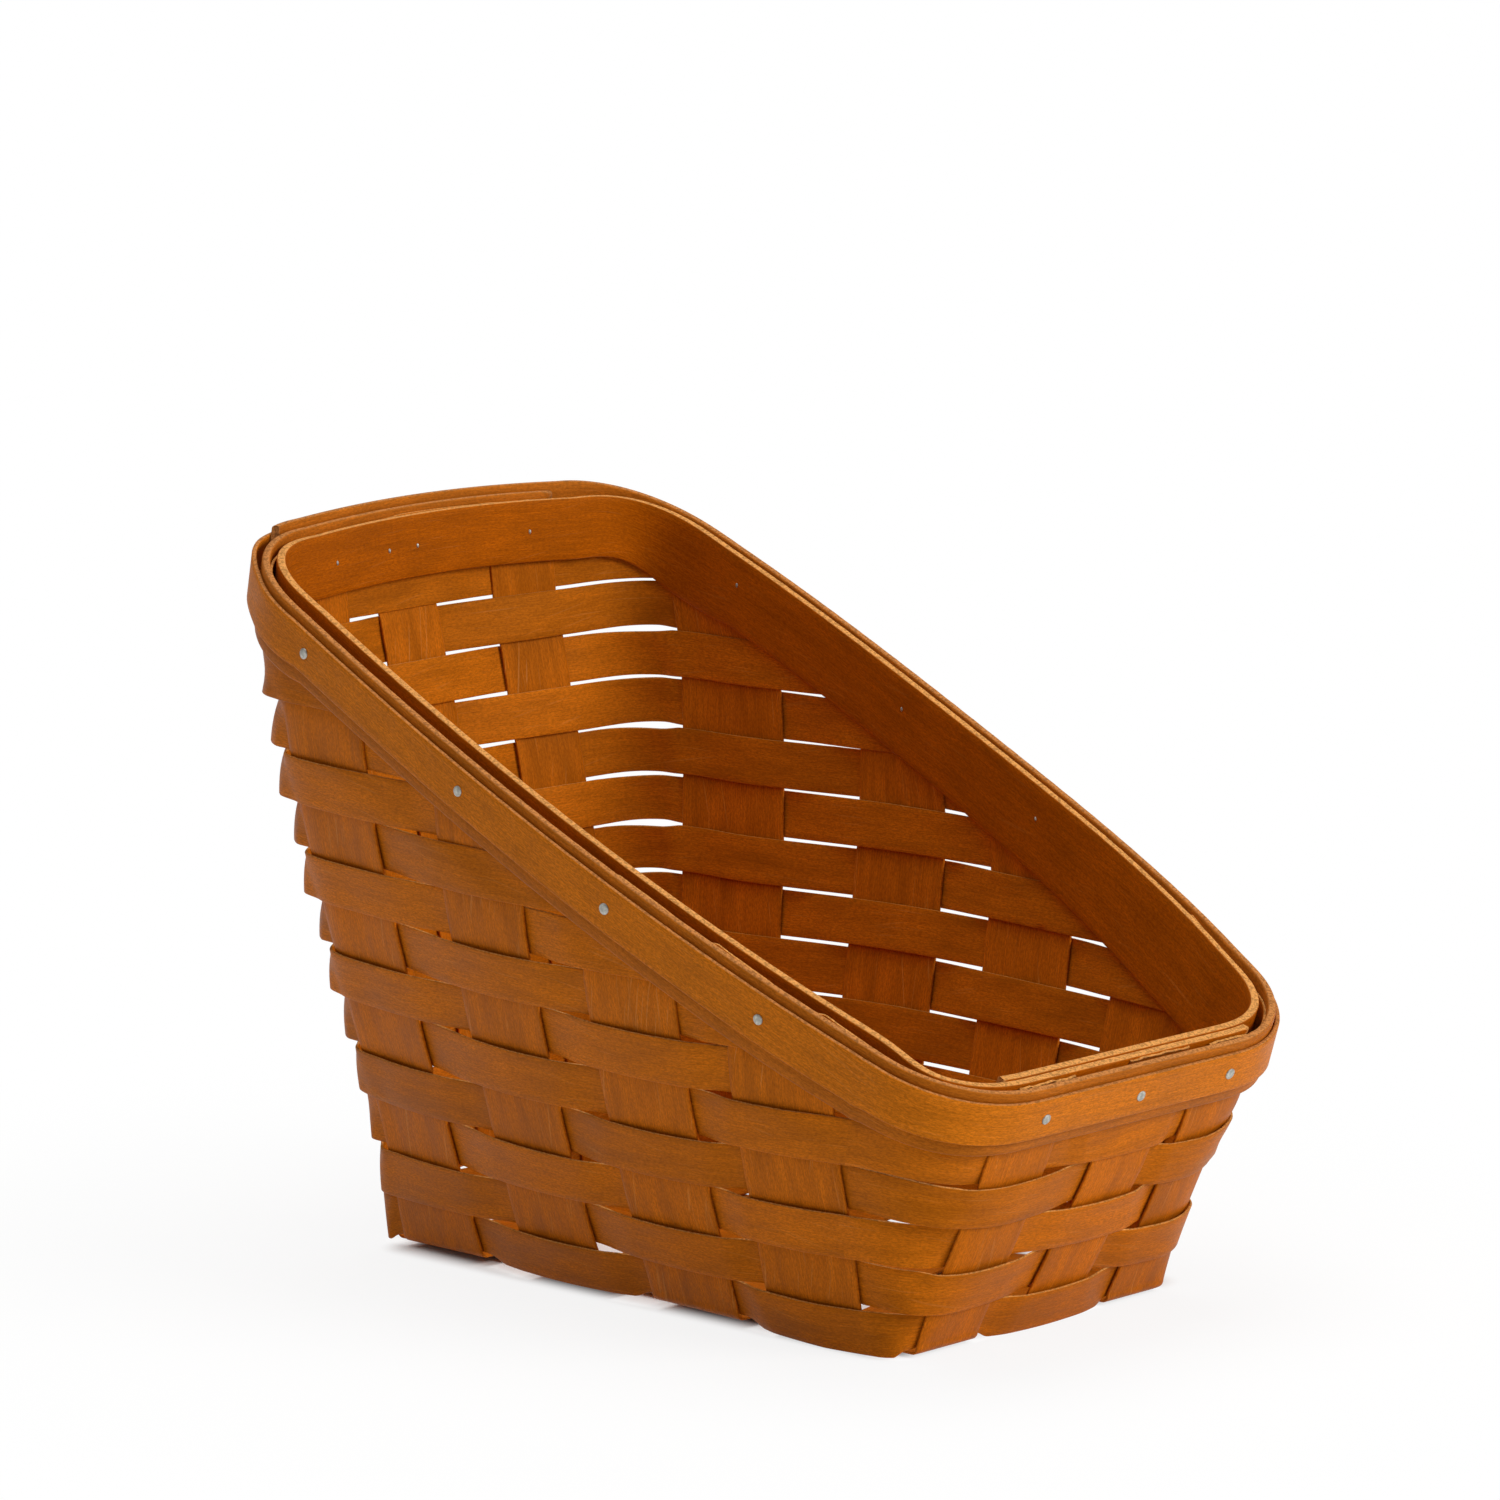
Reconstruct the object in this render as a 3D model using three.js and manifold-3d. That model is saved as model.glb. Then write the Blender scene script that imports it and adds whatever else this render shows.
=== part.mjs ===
// A woven-splint vegetable basket with a slanted rim, low at the front and high at the back.
// Units are millimetres, +Z is up, the low front faces -Y and the high back faces +Y.
import * as THREE from "three";
import { mergeVertices } from "three/addons/utils/BufferGeometryUtils.js";
import Module from "manifold-3d";

const wasm = await Module();
wasm.setup();

// Woven strips. Counted in its own rows the back wall is backRows high, counted in the sides' rows
// sideRows, and the front wall is frontRows high.
const splintThickness = 0.9;
const rowCount = 14;
const backRows = 14.13;
const sideRows = 13.96;
const frontRows = 6.222;
const rowGap = 0.45;
const weaveGap = 0.56;
const weaveBulge = 0.55;
const cornerGap = 0.8;
const edgeGap = 0.6;
const latticeGap = 0.25;
const bendRadius = 2.4;
const heldGap = 0.25;
const footGap = 0.7;
const footHeight = 0.6;
const shortestEnd = 4;

// Walls: reach from the base's centre lines, and slope outwards per millimetre of height
const baseHalfWidth = 65.5;
const baseFrontReach = 134;
const baseBackReach = 104;
const frontFlare = 0.496;
const backFlare = 0.14;
const sideFlareLow = 0.36;
const sideFlareHigh = 0.06;
const sideFlareHeight = 200;

// Seen from above the sides bow outwards, more so higher up, and the corners open with height
const bowLow = 4.5;
const bowHigh = 15;
const bowHeight = 40;
const backBow = 4;
const frontCornerLow = 5;
const frontCornerHigh = 36;
const backCornerLow = 5;
const backCornerHigh = 33;
const frontCornerHeight = 45;
const frontCornerPower = 0.6;
const backCornerHeight = 70;

// The bands pull the wall inwards over the last stretch below the rim
const rimPinch = 4.6;
const pinchDepth = 45;
const backPinchDepth = 30;
const backPinchPower = 1.5;

// How the weave has settled: its rows climb towards the back, and its base is a little skewed
const rowRise = 0.027;
const riseHeight = 80;
const baseSkew = 0.03;
const skewHeight = 250;
const rightLift = 1.8;
const rightLiftStart = 0.1;
const rightLiftRun = 0.6;

// Corner powers: 2 is a quarter circle and more is squarer. A weaver is squarer along its lower
// edge than along its upper one, so the rows step outwards at the corners. The rim holds them round.
const weaverBackLowPower = 3.7;
const weaverFrontLowPower = 2.9;
const weaverHighPower = 2.1;
const splintPower = 2.6;
const rimTopPower = 2;
const rimDeepPower = 2.9;
const freeStart = 29;
const freeEnd = 47;

// Places along the base are shares of its length from the front, and places across it are shares
// of its half width
const alongBase = (share) => share * (baseFrontReach + baseBackReach) - baseFrontReach;
const acrossBase = (share) => share * baseHalfWidth;

const backCrossSplintWidth = 39;
const crossSplintWidth = 38;
const longSplintWidth = 26.5;

// Splint centres on the base, their lean per millimetre of height on either wall, and their widths
const crossSplints = [
  { centre: alongBase(0.8676), leanStart: 0.075, leanEnd: 0.1, width: backCrossSplintWidth },
  { centre: alongBase(0.605), leanStart: 0.008, leanEnd: 0.048, width: crossSplintWidth },
  { centre: alongBase(0.357), leanStart: -0.022, leanEnd: 0.043, width: crossSplintWidth },
  { centre: alongBase(0.1387), leanStart: -0.074, leanEnd: -0.042, width: crossSplintWidth },
];
const longSplints = [
  { centre: acrossBase(-0.6489), leanStart: 0.04, leanEnd: -0.062, width: longSplintWidth },
  { centre: acrossBase(0), leanStart: 0.15, leanEnd: -0.072, width: longSplintWidth },
  { centre: acrossBase(0.6565), leanStart: 0.065, leanEnd: -0.028, width: longSplintWidth },
];
const longNames = ["left", "middle", "right"];

// Rim: its top edge lies in one slanted plane, between its heights on the front and back walls
const rimFrontHeight = 87.6;
const rimBackHeight = 226.71;
const splintRecess = 0.5;
const innerBandThickness = 2.8;
const innerBandWidth = 25.4;
const outerBandThickness = 2.8;
const outerBandWidth = 22.2;
const trimThickness = 1.6;
const trimWidth = 14.3;
const trimDrop = 2.7;
const bandGap = 0.62;
const layerGap = 0.35;
const innerLap = [acrossBase(-0.809), acrossBase(0.855)];
const outerLapEnd = acrossBase(0.794);
const outerLapShare = 6 / 8;
const outerLapRise = 1.2;
const trimClimbStart = 2 / 8;
const trimJoint = acrossBase(0.2748);
const buttGap = 0.5;

// Between the bands the weave is squeezed flat, down to heldDepth, and frees itself over heldFade.
// The inner band stands off the weave along the left side.
const heldDepth = 28;
const heldFade = 14;
const innerSlack = 3.2;
const slackShares = { rise: [0.55, 1], fall: [0.2, 1] };

// Tacks: a flat head on the trim, and a shank through every layer of the rim
const tackHeadRadius = 1.75;
const tackHeadThickness = 0.7;
const tackShankRadius = 0.6;
const tackHoleGap = 0.3;
const tackPoint = 1.4;
const tackTipRadius = 0.24;
const tackRimThickness = 0.42;
const tackCrownRadius = 1.4;
const tackSides = 8;
const holeSides = 6;
const sideTacks = [0.1092, 0.3487, 0.6155, 0.9328].map(alongBase);
const frontTacks = [-0.6489, 0, 0.6336].map(acrossBase);
const backTacks = [-0.7481, -0.3664, -0.1679, 0.5878].map(acrossBase);

// Passes taken to settle a height at which a wall meets the rim's plane
const meetingPasses = 30;

const halfThickness = splintThickness / 2;
const weaveOffset = splintThickness + weaveGap;
const heldOffset = splintThickness + heldGap;
const heldReach = heldOffset + halfThickness;
const latticeLow = halfThickness;
const latticeHigh = halfThickness + splintThickness + latticeGap;
const latticeTop = latticeHigh + halfThickness;

const lerp = (a, b, t) => a + (b - a) * t;
const clamp01 = (t) => Math.min(1, Math.max(0, t));
const smooth = (t) => clamp01(t) ** 2 * (3 - 2 * clamp01(t));

const sideReach = (z) => {
  const change = (sideFlareHigh - sideFlareLow) / sideFlareHeight;
  return baseHalfWidth + z * (sideFlareLow + (change * z) / 2);
};
const frontReach = (z) => baseFrontReach + frontFlare * z;
const backReach = (z) => baseBackReach + backFlare * z;
const rimLength = frontReach(rimFrontHeight) + backReach(rimBackHeight);
const rimSlope = (rimBackHeight - rimFrontHeight) / rimLength;
const rimHeightAtMiddle = rimFrontHeight + rimSlope * frontReach(rimFrontHeight);
const rimHeight = (y) => rimHeightAtMiddle + rimSlope * y;
const pinchAt = (y, z) => rimPinch * clamp01(1 - (rimHeight(y) - z) / pinchDepth);

// Where a point of the even, upright shape ends up once the weave has settled
const settled = (p) =>
  new THREE.Vector3(
    p.x + baseSkew * p.y * (1 - clamp01(p.z / skewHeight)),
    p.y,
    p.z + rowRise * (p.y + baseFrontReach) * clamp01(p.z / riseHeight),
  );

// The plan of the wall at height z. Walls are 0 left, 1 back, 2 right and 3 front.
function planAt(z) {
  const front = frontReach(z) - pinchAt(-frontReach(z), z);
  const backDepth = rimHeight(backReach(z)) - z;
  const back = backReach(z) - rimPinch * clamp01(1 - backDepth / backPinchDepth) ** backPinchPower;
  const middle = (back - front) / 2;
  const half = (back + front) / 2;
  const bow = lerp(bowLow, bowHigh, clamp01(z / bowHeight));
  const sideAt = (y) => sideReach(z) - pinchAt(y, z) - bow * ((y - middle) / half) ** 2;
  const backOpened = clamp01(z / backCornerHeight);
  const frontOpened = clamp01(z / frontCornerHeight) ** frontCornerPower;
  const frontCorner = lerp(frontCornerLow, frontCornerHigh, frontOpened);
  const backCorner = lerp(backCornerLow, backCornerHigh, backOpened);
  const frontStart = -front + frontCorner;
  const backStart = back - backCorner;
  return {
    front,
    back,
    sideAt,
    frontCorner,
    backCorner,
    frontStart,
    backStart,
    belly: backBow * backOpened,
    slopeAt: (y) => (2 * bow * (y - middle)) / half ** 2,
    frontFlat: sideAt(frontStart) - frontCorner,
    backFlat: sideAt(backStart) - backCorner,
  };
}

// Inward step of a rounded corner at a share u of its reach, for a corner power
const cornerStep = (u, power) => 1 - (1 - clamp01(u) ** power) ** (1 / power);

// Point on a wall at a place along it (y on the sides, x at the ends), with its outward normal
function wallPoint(wall, place, z, power) {
  const plan = planAt(z);
  if (wall % 2 === 0) {
    const sign = wall === 0 ? -1 : 1;
    const atBack = place > plan.backStart;
    const corner = atBack ? plan.backCorner : plan.frontCorner;
    const start = atBack ? plan.backStart : plan.frontStart;
    const past = atBack ? place - start : start - place;
    const edge = past > 0 ? start : place;
    const x = plan.sideAt(edge) - corner * cornerStep(past / corner, power);
    const u = clamp01(past / corner);
    const turn = past > 0 ? (atBack ? 1 : -1) * u ** (power - 1) : plan.slopeAt(place);
    const length = Math.hypot(1, turn);
    return { x: sign * x, y: place, z, nx: sign / length, ny: turn / length };
  }
  const sign = wall === 1 ? 1 : -1;
  const flat = wall === 1 ? plan.backFlat : plan.frontFlat;
  const corner = wall === 1 ? plan.backCorner : plan.frontCorner;
  const reach = wall === 1 ? plan.back : plan.front;
  const past = Math.abs(place) - flat;
  const u = clamp01(past / corner);
  const belly = wall === 1 ? plan.belly : 0;
  const along = Math.min(1, Math.abs(place) / flat);
  const slope = (2 * belly * place) / flat ** 2;
  const turn = past > 0 ? Math.sign(place) * u ** (power - 1) : slope;
  const length = Math.hypot(1, turn);
  return {
    x: place,
    y: sign * (reach + belly * (1 - along ** 2) - corner * cornerStep(u, power)),
    z,
    nx: turn / length,
    ny: sign / length,
  };
}

// Point on the corner that follows a wall, at a share t of its turn
function cornerPoint(wall, t, z, power) {
  const plan = planAt(z);
  const isBack = wall < 2;
  const corner = isBack ? plan.backCorner : plan.frontCorner;
  const startX = isBack ? plan.backFlat : plan.frontFlat;
  const startY = isBack ? plan.backStart : -plan.frontStart;
  const angle = (wall % 2 === 0 ? t : 1 - t) * (Math.PI / 2);
  const c = Math.cos(angle);
  const s = Math.sin(angle);
  const signX = wall === 0 || wall === 3 ? -1 : 1;
  const signY = isBack ? 1 : -1;
  const nx = c ** (2 - 2 / power);
  const ny = s ** (2 - 2 / power);
  const length = Math.hypot(nx, ny);
  return {
    x: signX * (startX + corner * c ** (2 / power)),
    y: signY * (startY + corner * s ** (2 / power)),
    z,
    nx: (signX * nx) / length,
    ny: (signY * ny) / length,
  };
}

// How free the wall is from the bands at a depth under the rim: 0 between them, 1 well below
const freeShare = (depth) => smooth((depth - freeStart) / (freeEnd - freeStart));

// Corner power where the wall lies a depth under the rim: the bands hold it round
function heldPower(depth, free) {
  const held = lerp(rimTopPower, rimDeepPower, clamp01(depth / innerBandWidth));
  return lerp(held, free, freeShare(depth));
}

// Height reached after climbing a wall by a slope length
const climbStep = 0.5;
function climb(reach, length) {
  let z = 0;
  for (let left = length; left > 0; left -= climbStep) {
    const slope = (reach(z + climbStep) - reach(z)) / climbStep;
    z += Math.min(climbStep, left) / Math.hypot(1, slope);
  }
  return z;
}

// Heights of the boundary above each row on the sides, the back and the front
const backLength = rimBackHeight * Math.hypot(1, backFlare);
const backRowPitch = backLength / backRows;
const rowPitch = backLength / sideRows;
const frontRowPitch = (rimFrontHeight * Math.hypot(1, frontFlare)) / frontRows;
const rows = Array.from({ length: rowCount + 1 }, (_, k) => k);
const sideLevels = rows.map((k) => climb(sideReach, rowPitch * k));
const backLevels = rows.map((k) => climb(backReach, backRowPitch * k));
const frontLevels = rows.map((k) => climb(frontReach, frontRowPitch * k));
const rowLevel = (k, p) => {
  const atBack = p.wall === 1 || (p.share !== undefined && p.wall < 2);
  const level = lerp(sideLevels[k], (atBack ? backLevels : frontLevels)[k], endShare(p));
  return k === 0 ? level : level + rightLift * rightShare(p);
};

// The rows of the right wall lie a little higher towards the front
function rightShare(p) {
  if (p.wall !== 2) return 0;
  if (p.share !== undefined) return smooth(1 - p.share);
  const { frontStart, backStart } = planAt(rimHeightAtMiddle / 2);
  const run = (backStart - p.place) / (backStart - frontStart);
  return smooth((run - rightLiftStart) / rightLiftRun);
}

// How far a place has turned from a side towards an end: 0 on the sides and 1 at the ends
function endShare(p) {
  if (p.share === undefined) return p.wall % 2;
  return smooth(p.wall % 2 === 0 ? p.share : 1 - p.share);
}

// Upright splints where they cross each wall, in order round the basket from the left side's front.
// Odd rows pass inside those marked outsideOdd, and even rows pass outside them.
const stakesOn = (wall) =>
  (wall % 2 === 0 ? crossSplints : longSplints).map((splint, i) => makeStake(wall, i));
const stakes = [...stakesOn(0).reverse(), ...stakesOn(1), ...stakesOn(2), ...stakesOn(3).reverse()];

function makeStake(wall, i) {
  const across = wall % 2 === 0;
  const splint = across ? crossSplints[i] : longSplints[i];
  const lean = wall === 0 || wall === 3 ? splint.leanStart : splint.leanEnd;
  return {
    wall,
    place: (z) => splint.centre + lean * z,
    halfWidth: splint.width / 2,
    outsideOdd: wall === 1 ? i % 2 === 1 : i % 2 === 0,
  };
}

// Solid strip through stations, each a ring of points round its section
function stripGeometry(stations, closed) {
  const ring = stations[0].length;
  const count = stations.length;
  const positions = stations.flatMap((points) => points.flatMap((p) => settled(p).toArray()));
  const index = [];
  for (let i = 0; i < (closed ? count : count - 1); i++) {
    const a = i * ring;
    const b = ((i + 1) % count) * ring;
    for (let j = 0; j < ring; j++) {
      const n = (j + 1) % ring;
      index.push(a + j, a + n, b + n, a + j, b + n, b + j);
    }
  }
  const end = (count - 1) * ring;
  for (let j = 0; j < ring / 2 - 1 && !closed; j++) {
    const k = ring - 1 - j;
    index.push(j, k, k - 1, j, k - 1, j + 1);
    index.push(end + j, end + k - 1, end + k, end + j, end + j + 1, end + k - 1);
  }
  const geometry = new THREE.BufferGeometry();
  geometry.setAttribute("position", new THREE.Float32BufferAttribute(positions, 3));
  geometry.setIndex(index);
  return geometry;
}

// Volume inside an indexed geometry, negative where its faces point inwards
function signedVolume(geometry) {
  const at = geometry.getAttribute("position");
  const corners = [new THREE.Vector3(), new THREE.Vector3(), new THREE.Vector3()];
  let sum = 0;
  for (let i = 0; i < geometry.index.count; i += 3) {
    corners.forEach((corner, j) => corner.fromBufferAttribute(at, geometry.index.getX(i + j)));
    sum += corners[0].dot(corners[1].cross(corners[2]));
  }
  return sum / 6;
}

// The same geometry with its faces pointing outwards
function facingOut(geometry) {
  if (signedVolume(geometry) > 0) return geometry;
  return geometry.setIndex(Array.from(geometry.index.array).reverse());
}

// Manifold solid of a geometry, and back again
function solidOf(geometry) {
  const merged = mergeVertices(geometry, 1e-4);
  const mesh = new wasm.Mesh({
    numProp: 3,
    vertProperties: new Float32Array(merged.attributes.position.array),
    triVerts: new Uint32Array(merged.index.array),
  });
  return new wasm.Manifold(mesh);
}

function geometryOf(solid) {
  const mesh = solid.getMesh();
  const points = new Float32Array(mesh.numVert * 3);
  for (let i = 0; i < mesh.numVert; i++) {
    const from = i * mesh.numProp;
    points.set(mesh.vertProperties.subarray(from, from + 3), i * 3);
  }
  const geometry = new THREE.BufferGeometry();
  geometry.setAttribute("position", new THREE.BufferAttribute(points, 3));
  geometry.setIndex(new THREE.BufferAttribute(new Uint32Array(mesh.triVerts), 1));
  return geometry;
}

const offsetPoint = (p, distance) =>
  new THREE.Vector3(p.x + p.nx * distance, p.y + p.ny * distance, p.z);

// Share of a corner's reach that a place has passed
function cornerShareAt(wall, place, z) {
  const plan = planAt(z);
  if (wall === 1) return clamp01((Math.abs(place) - plan.backFlat) / plan.backCorner);
  if (wall === 3) return clamp01((Math.abs(place) - plan.frontFlat) / plan.frontCorner);
  if (place > plan.backStart) return clamp01((place - plan.backStart) / plan.backCorner);
  return clamp01((plan.frontStart - place) / plan.frontCorner);
}

// Places round the basket at which a row is shaped, with its distance out from the wall's middle
const cornerShares = [0, 1 / 8, 2 / 8, 3 / 8, 4 / 8, 5 / 8, 6 / 8, 7 / 8, 1];
const leastStep = 4;
function rowPlaces(row) {
  const places = [];
  const height = sideLevels[row] - rowPitch / 2;
  for (const wall of [0, 1, 2, 3]) {
    const direction = wall < 2 ? 1 : -1;
    for (const stake of stakes.filter((s) => s.wall === wall)) {
      const sign = (row % 2 === 1) === stake.outsideOdd ? -1 : 1;
      for (const edge of [-1, 0, 1]) {
        const place = stake.place(height) + direction * edge * (stake.halfWidth + edgeGap);
        const free = freeShare(rimHeight(wallPoint(wall, place, height, splintPower).y) - height);
        const spread = edge === 0 ? weaveBulge : cornerGap * free * cornerShareAt(wall, place, height);
        places.push({ wall, place, offset: sign * (weaveOffset + spread) });
      }
    }
    cornerShares.forEach((share) => places.push({ wall, share }));
  }
  return spreadOffsets(withoutBacktracks(places, height), height);
}

// Corner places that a stake's edge already passes are left out
function withoutBacktracks(places, height) {
  const points = places.map((p) => pointAt(p, height, splintPower));
  const count = places.length;
  const stakeFrom = (i, step) => {
    let k = i;
    while (places[(k + count) % count].share !== undefined) k += step;
    return points[(k + count) % count];
  };
  return places.filter((p, i) => {
    if (p.share === undefined) return true;
    const at = points[i];
    const forward = (a, b) => (b.x - a.x) * at.ny - (b.y - a.y) * at.nx;
    return forward(stakeFrom(i, -1), at) > leastStep && forward(at, stakeFrom(i, 1)) > leastStep;
  });
}

const pointAt = (p, z, power) =>
  p.share === undefined
    ? wallPoint(p.wall, p.place, z, power)
    : cornerPoint(p.wall, p.share, z, power);

// Corners take their offsets evenly from the stakes before and after them
function spreadOffsets(places, height) {
  const points = places.map((p) => pointAt(p, height, splintPower));
  const count = places.length;
  const gap = (i) => {
    const a = points[i % count];
    const b = points[(i + 1) % count];
    return Math.hypot(a.x - b.x, a.y - b.y);
  };
  const first = places.findIndex((p) => p.share !== undefined);
  for (let i = first; i < count; i++) {
    if (places[i].offset !== undefined) continue;
    let end = i;
    while (places[end % count].offset === undefined) end++;
    const total = Array.from({ length: end - i + 1 }, (_, k) => gap(i - 1 + k));
    const length = total.reduce((a, b) => a + b, 0);
    const from = places[i - 1].offset;
    const to = places[end % count].offset;
    let run = 0;
    for (let k = i; k < end; k++) {
      run += total[k - i];
      places[k].offset = lerp(from, to, smooth(run / length));
    }
  }
  return places;
}

// A row is a closed ring where the rim is high enough at the front, and otherwise ends under it
const openingLevel = (y) => rimHeight(y) - splintRecess;
const rowClosed = (row) => {
  const floor = frontLevels[row - 1];
  return floor + shortestEnd < openingLevel(-frontReach(floor));
};

// Places of an open row run from its end on the left side, round the back, to its end on the right
function openPlaces(places, row) {
  const end = (sideLevels[row - 1] + shortestEnd + splintRecess - rimHeightAtMiddle) / rimSlope;
  const kept = places.filter((p) => p.wall < 2 || (p.wall === 2 && p.share === undefined));
  const behind = (p) => p.share !== undefined || p.wall === 1 || p.place > end + 1;
  const run = kept.filter(behind);
  const endOffset = (wall) => {
    const side = kept.filter((p) => p.wall === wall && p.share === undefined);
    const near = side.filter((p) => p.place > end).sort((a, b) => a.place - b.place)[0];
    const far = side.filter((p) => p.place <= end).sort((a, b) => b.place - a.place)[0];
    if (!near || !far) return (near ?? far).offset;
    return lerp(far.offset, near.offset, (end - far.place) / (near.place - far.place));
  };
  return [
    { wall: 0, place: end, offset: endOffset(0) },
    ...run,
    { wall: 2, place: end, offset: endOffset(2) },
  ];
}

// One weaver: a strip round the wall that passes outside and inside the upright splints by turns
function weaverGeometry(row) {
  const closed = rowClosed(row);
  const all = rowPlaces(row);
  const places = closed ? all : openPlaces(all, row);
  const stations = places.map((p) => {
    const overLattice = smooth(-p.offset / weaveOffset);
    const foot = row === 1 ? lerp(footHeight, latticeTop + footGap, overLattice) : 0;
    const bottom = Math.max(foot, rowLevel(row - 1, p) + rowGap);
    const atStake = p.share === undefined;
    const lowPower = p.wall < 2 ? weaverBackLowPower : weaverFrontLowPower;
    const low = rimPoint(p, bottom, atStake ? splintPower : lowPower);
    const top = Math.min(rowLevel(row, p) - rowGap, openingLevel(low.y));
    const high = rimPoint(p, top, atStake ? splintPower : weaverHighPower);
    const lowOffset = heldBetweenBands(p.offset, low);
    const highOffset = heldBetweenBands(p.offset, high);
    return [
      offsetPoint(low, lowOffset - halfThickness),
      offsetPoint(high, highOffset - halfThickness),
      offsetPoint(high, highOffset + halfThickness),
      offsetPoint(low, lowOffset + halfThickness),
    ];
  });
  return stripGeometry(stations, closed);
}

// A row's distance from the wall's middle, which the bands keep small near the rim
function heldBetweenBands(offset, point) {
  const loose = smooth((rimHeight(point.y) - point.z - heldDepth) / heldFade);
  return lerp(Math.max(-heldOffset, Math.min(heldOffset, offset)), offset, loose);
}

// Point on the wall whose corner is held round by the rim where it lies near the rim
function rimPoint(p, z, free) {
  const first = pointAt(p, z, free);
  return pointAt(p, z, heldPower(rimHeight(first.y) - z, free));
}

// Three points across an upright splint on its wall, at a share of its height
function uprightStations(stake, startHeight) {
  const across = [-1, 0, 1];
  const tops = across.map((edge) => {
    let z = startHeight;
    for (let i = 0; i < meetingPasses; i++) {
      const place = stake.place(z) + edge * stake.halfWidth;
      z = openingLevel(wallPoint(stake.wall, place, z, splintPower).y);
    }
    return z;
  });
  const levels = { 1: backLevels, 3: frontLevels }[stake.wall] ?? sideLevels;
  const between = levels.filter((z) => z > startHeight + 1 && z < tops[1] - leastStep);
  const shares = [startHeight, ...between, tops[1]].map((z) => (z - startHeight) / (tops[1] - startHeight));
  return shares.map((share) => {
    const points = across.map((edge, k) => {
      const z = lerp(startHeight, tops[k], share);
      const p = { wall: stake.wall, place: stake.place(z) + edge * stake.halfWidth };
      return rimPoint(p, z, splintPower);
    });
    return sectionOf(points);
  });
}

const sectionOf = (points) => [
  ...points.map((p) => offsetPoint(p, halfThickness)),
  ...points.map((p) => offsetPoint(p, -halfThickness)).reverse(),
];

// The turn from the base up to a wall, as sections from the flat base to the upright
const bendShares = [0, 1 / 3, 2 / 3];
function bendStations(stake, level) {
  const start = level + bendRadius;
  const walls = [-1, 0, 1].map((edge) => {
    const place = stake.place(start) + edge * stake.halfWidth;
    return wallPoint(stake.wall, place, start, splintPower);
  });
  return bendShares.map((share) => {
    const angle = (share * Math.PI) / 2;
    const inward = bendRadius * (1 - Math.sin(angle));
    const z = level + bendRadius * (1 - Math.cos(angle));
    const face = (p, side) => {
      const shift = side * halfThickness * Math.sin(angle) - inward;
      const height = z - side * halfThickness * Math.cos(angle);
      return new THREE.Vector3(p.x + p.nx * shift, p.y + p.ny * shift, height);
    };
    return [...walls.map((p) => face(p, 1)), ...walls.map((p) => face(p, -1)).reverse()];
  });
}

// One splint from rim to rim: down a wall, across the base over and under the others, and up again
function splintGeometry(startStake, endStake, crossings) {
  const levels = crossings.map((c) => (c.high ? latticeHigh : latticeLow));
  const firstLevel = levels[0];
  const lastLevel = levels[levels.length - 1];
  const alongX = startStake.wall === 0;
  const baseSection = (at, level) => {
    const edges = [-1, 0, 1].map((edge) => startStake.place(0) + edge * startStake.halfWidth);
    const point = (across, z) =>
      alongX ? new THREE.Vector3(at, across, z) : new THREE.Vector3(across, at, z);
    return [
      ...edges.map((e) => point(e, level - halfThickness)),
      ...edges.map((e) => point(e, level + halfThickness)).reverse(),
    ];
  };
  const flat = crossings.flatMap((c, i) => [
    baseSection(c.at - c.reach, levels[i]),
    baseSection(c.at + c.reach, levels[i]),
  ]);
  const stations = [
    ...uprightStations(startStake, firstLevel + bendRadius).reverse(),
    ...bendStations(startStake, firstLevel).reverse(),
    ...flat,
    ...bendStations(endStake, lastLevel),
    ...uprightStations(endStake, lastLevel + bendRadius),
  ];
  return stripGeometry(stations, false);
}

function crossSplintGeometry(i) {
  const crossings = longSplints.map((splint, j) => ({
    at: splint.centre,
    reach: splint.width / 2 + latticeGap,
    high: (i + j) % 2 === 0,
  }));
  return splintGeometry(makeStake(0, i), makeStake(2, i), crossings);
}

function longSplintGeometry(j) {
  const crossings = crossSplints
    .map((splint, i) => ({
      at: splint.centre,
      reach: splint.width / 2 + latticeGap,
      high: (i + j) % 2 === 1,
    }))
    .reverse();
  return splintGeometry(makeStake(3, j), makeStake(1, j), crossings);
}

// Places once round the rim, each with its point on the rim's plane
const sideShares = Array.from({ length: 11 }, (_, i) => (i + 1) / 12);
const endShares = [1 / 6, 2 / 6, 3 / 6, 4 / 6, 5 / 6];
function rimCycle(extra) {
  const places = [];
  for (const wall of [0, 1, 2, 3]) {
    const plan = planAt(rimHeight(wall === 1 ? baseBackReach : -baseFrontReach));
    const flat = wall === 1 ? plan.backFlat : plan.frontFlat;
    const ends = wall % 2 === 0 ? [plan.frontStart, plan.backStart] : [-flat, flat];
    const shares = wall % 2 === 0 ? sideShares : endShares;
    const run = [...shares.map((s) => lerp(ends[0], ends[1], s)), ...(extra[wall] ?? [])];
    run.sort((a, b) => (wall < 2 ? a - b : b - a));
    run.forEach((place) => places.push({ wall, place }));
    cornerShares.forEach((share) => places.push({ wall, share }));
  }
  return places;
}

// Height at which a place of the wall meets the rim's plane
function rimMeeting(p) {
  let z = rimHeightAtMiddle;
  for (let i = 0; i < meetingPasses; i++) z = rimHeight(pointAt(p, z, rimTopPower).y);
  return z;
}

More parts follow.
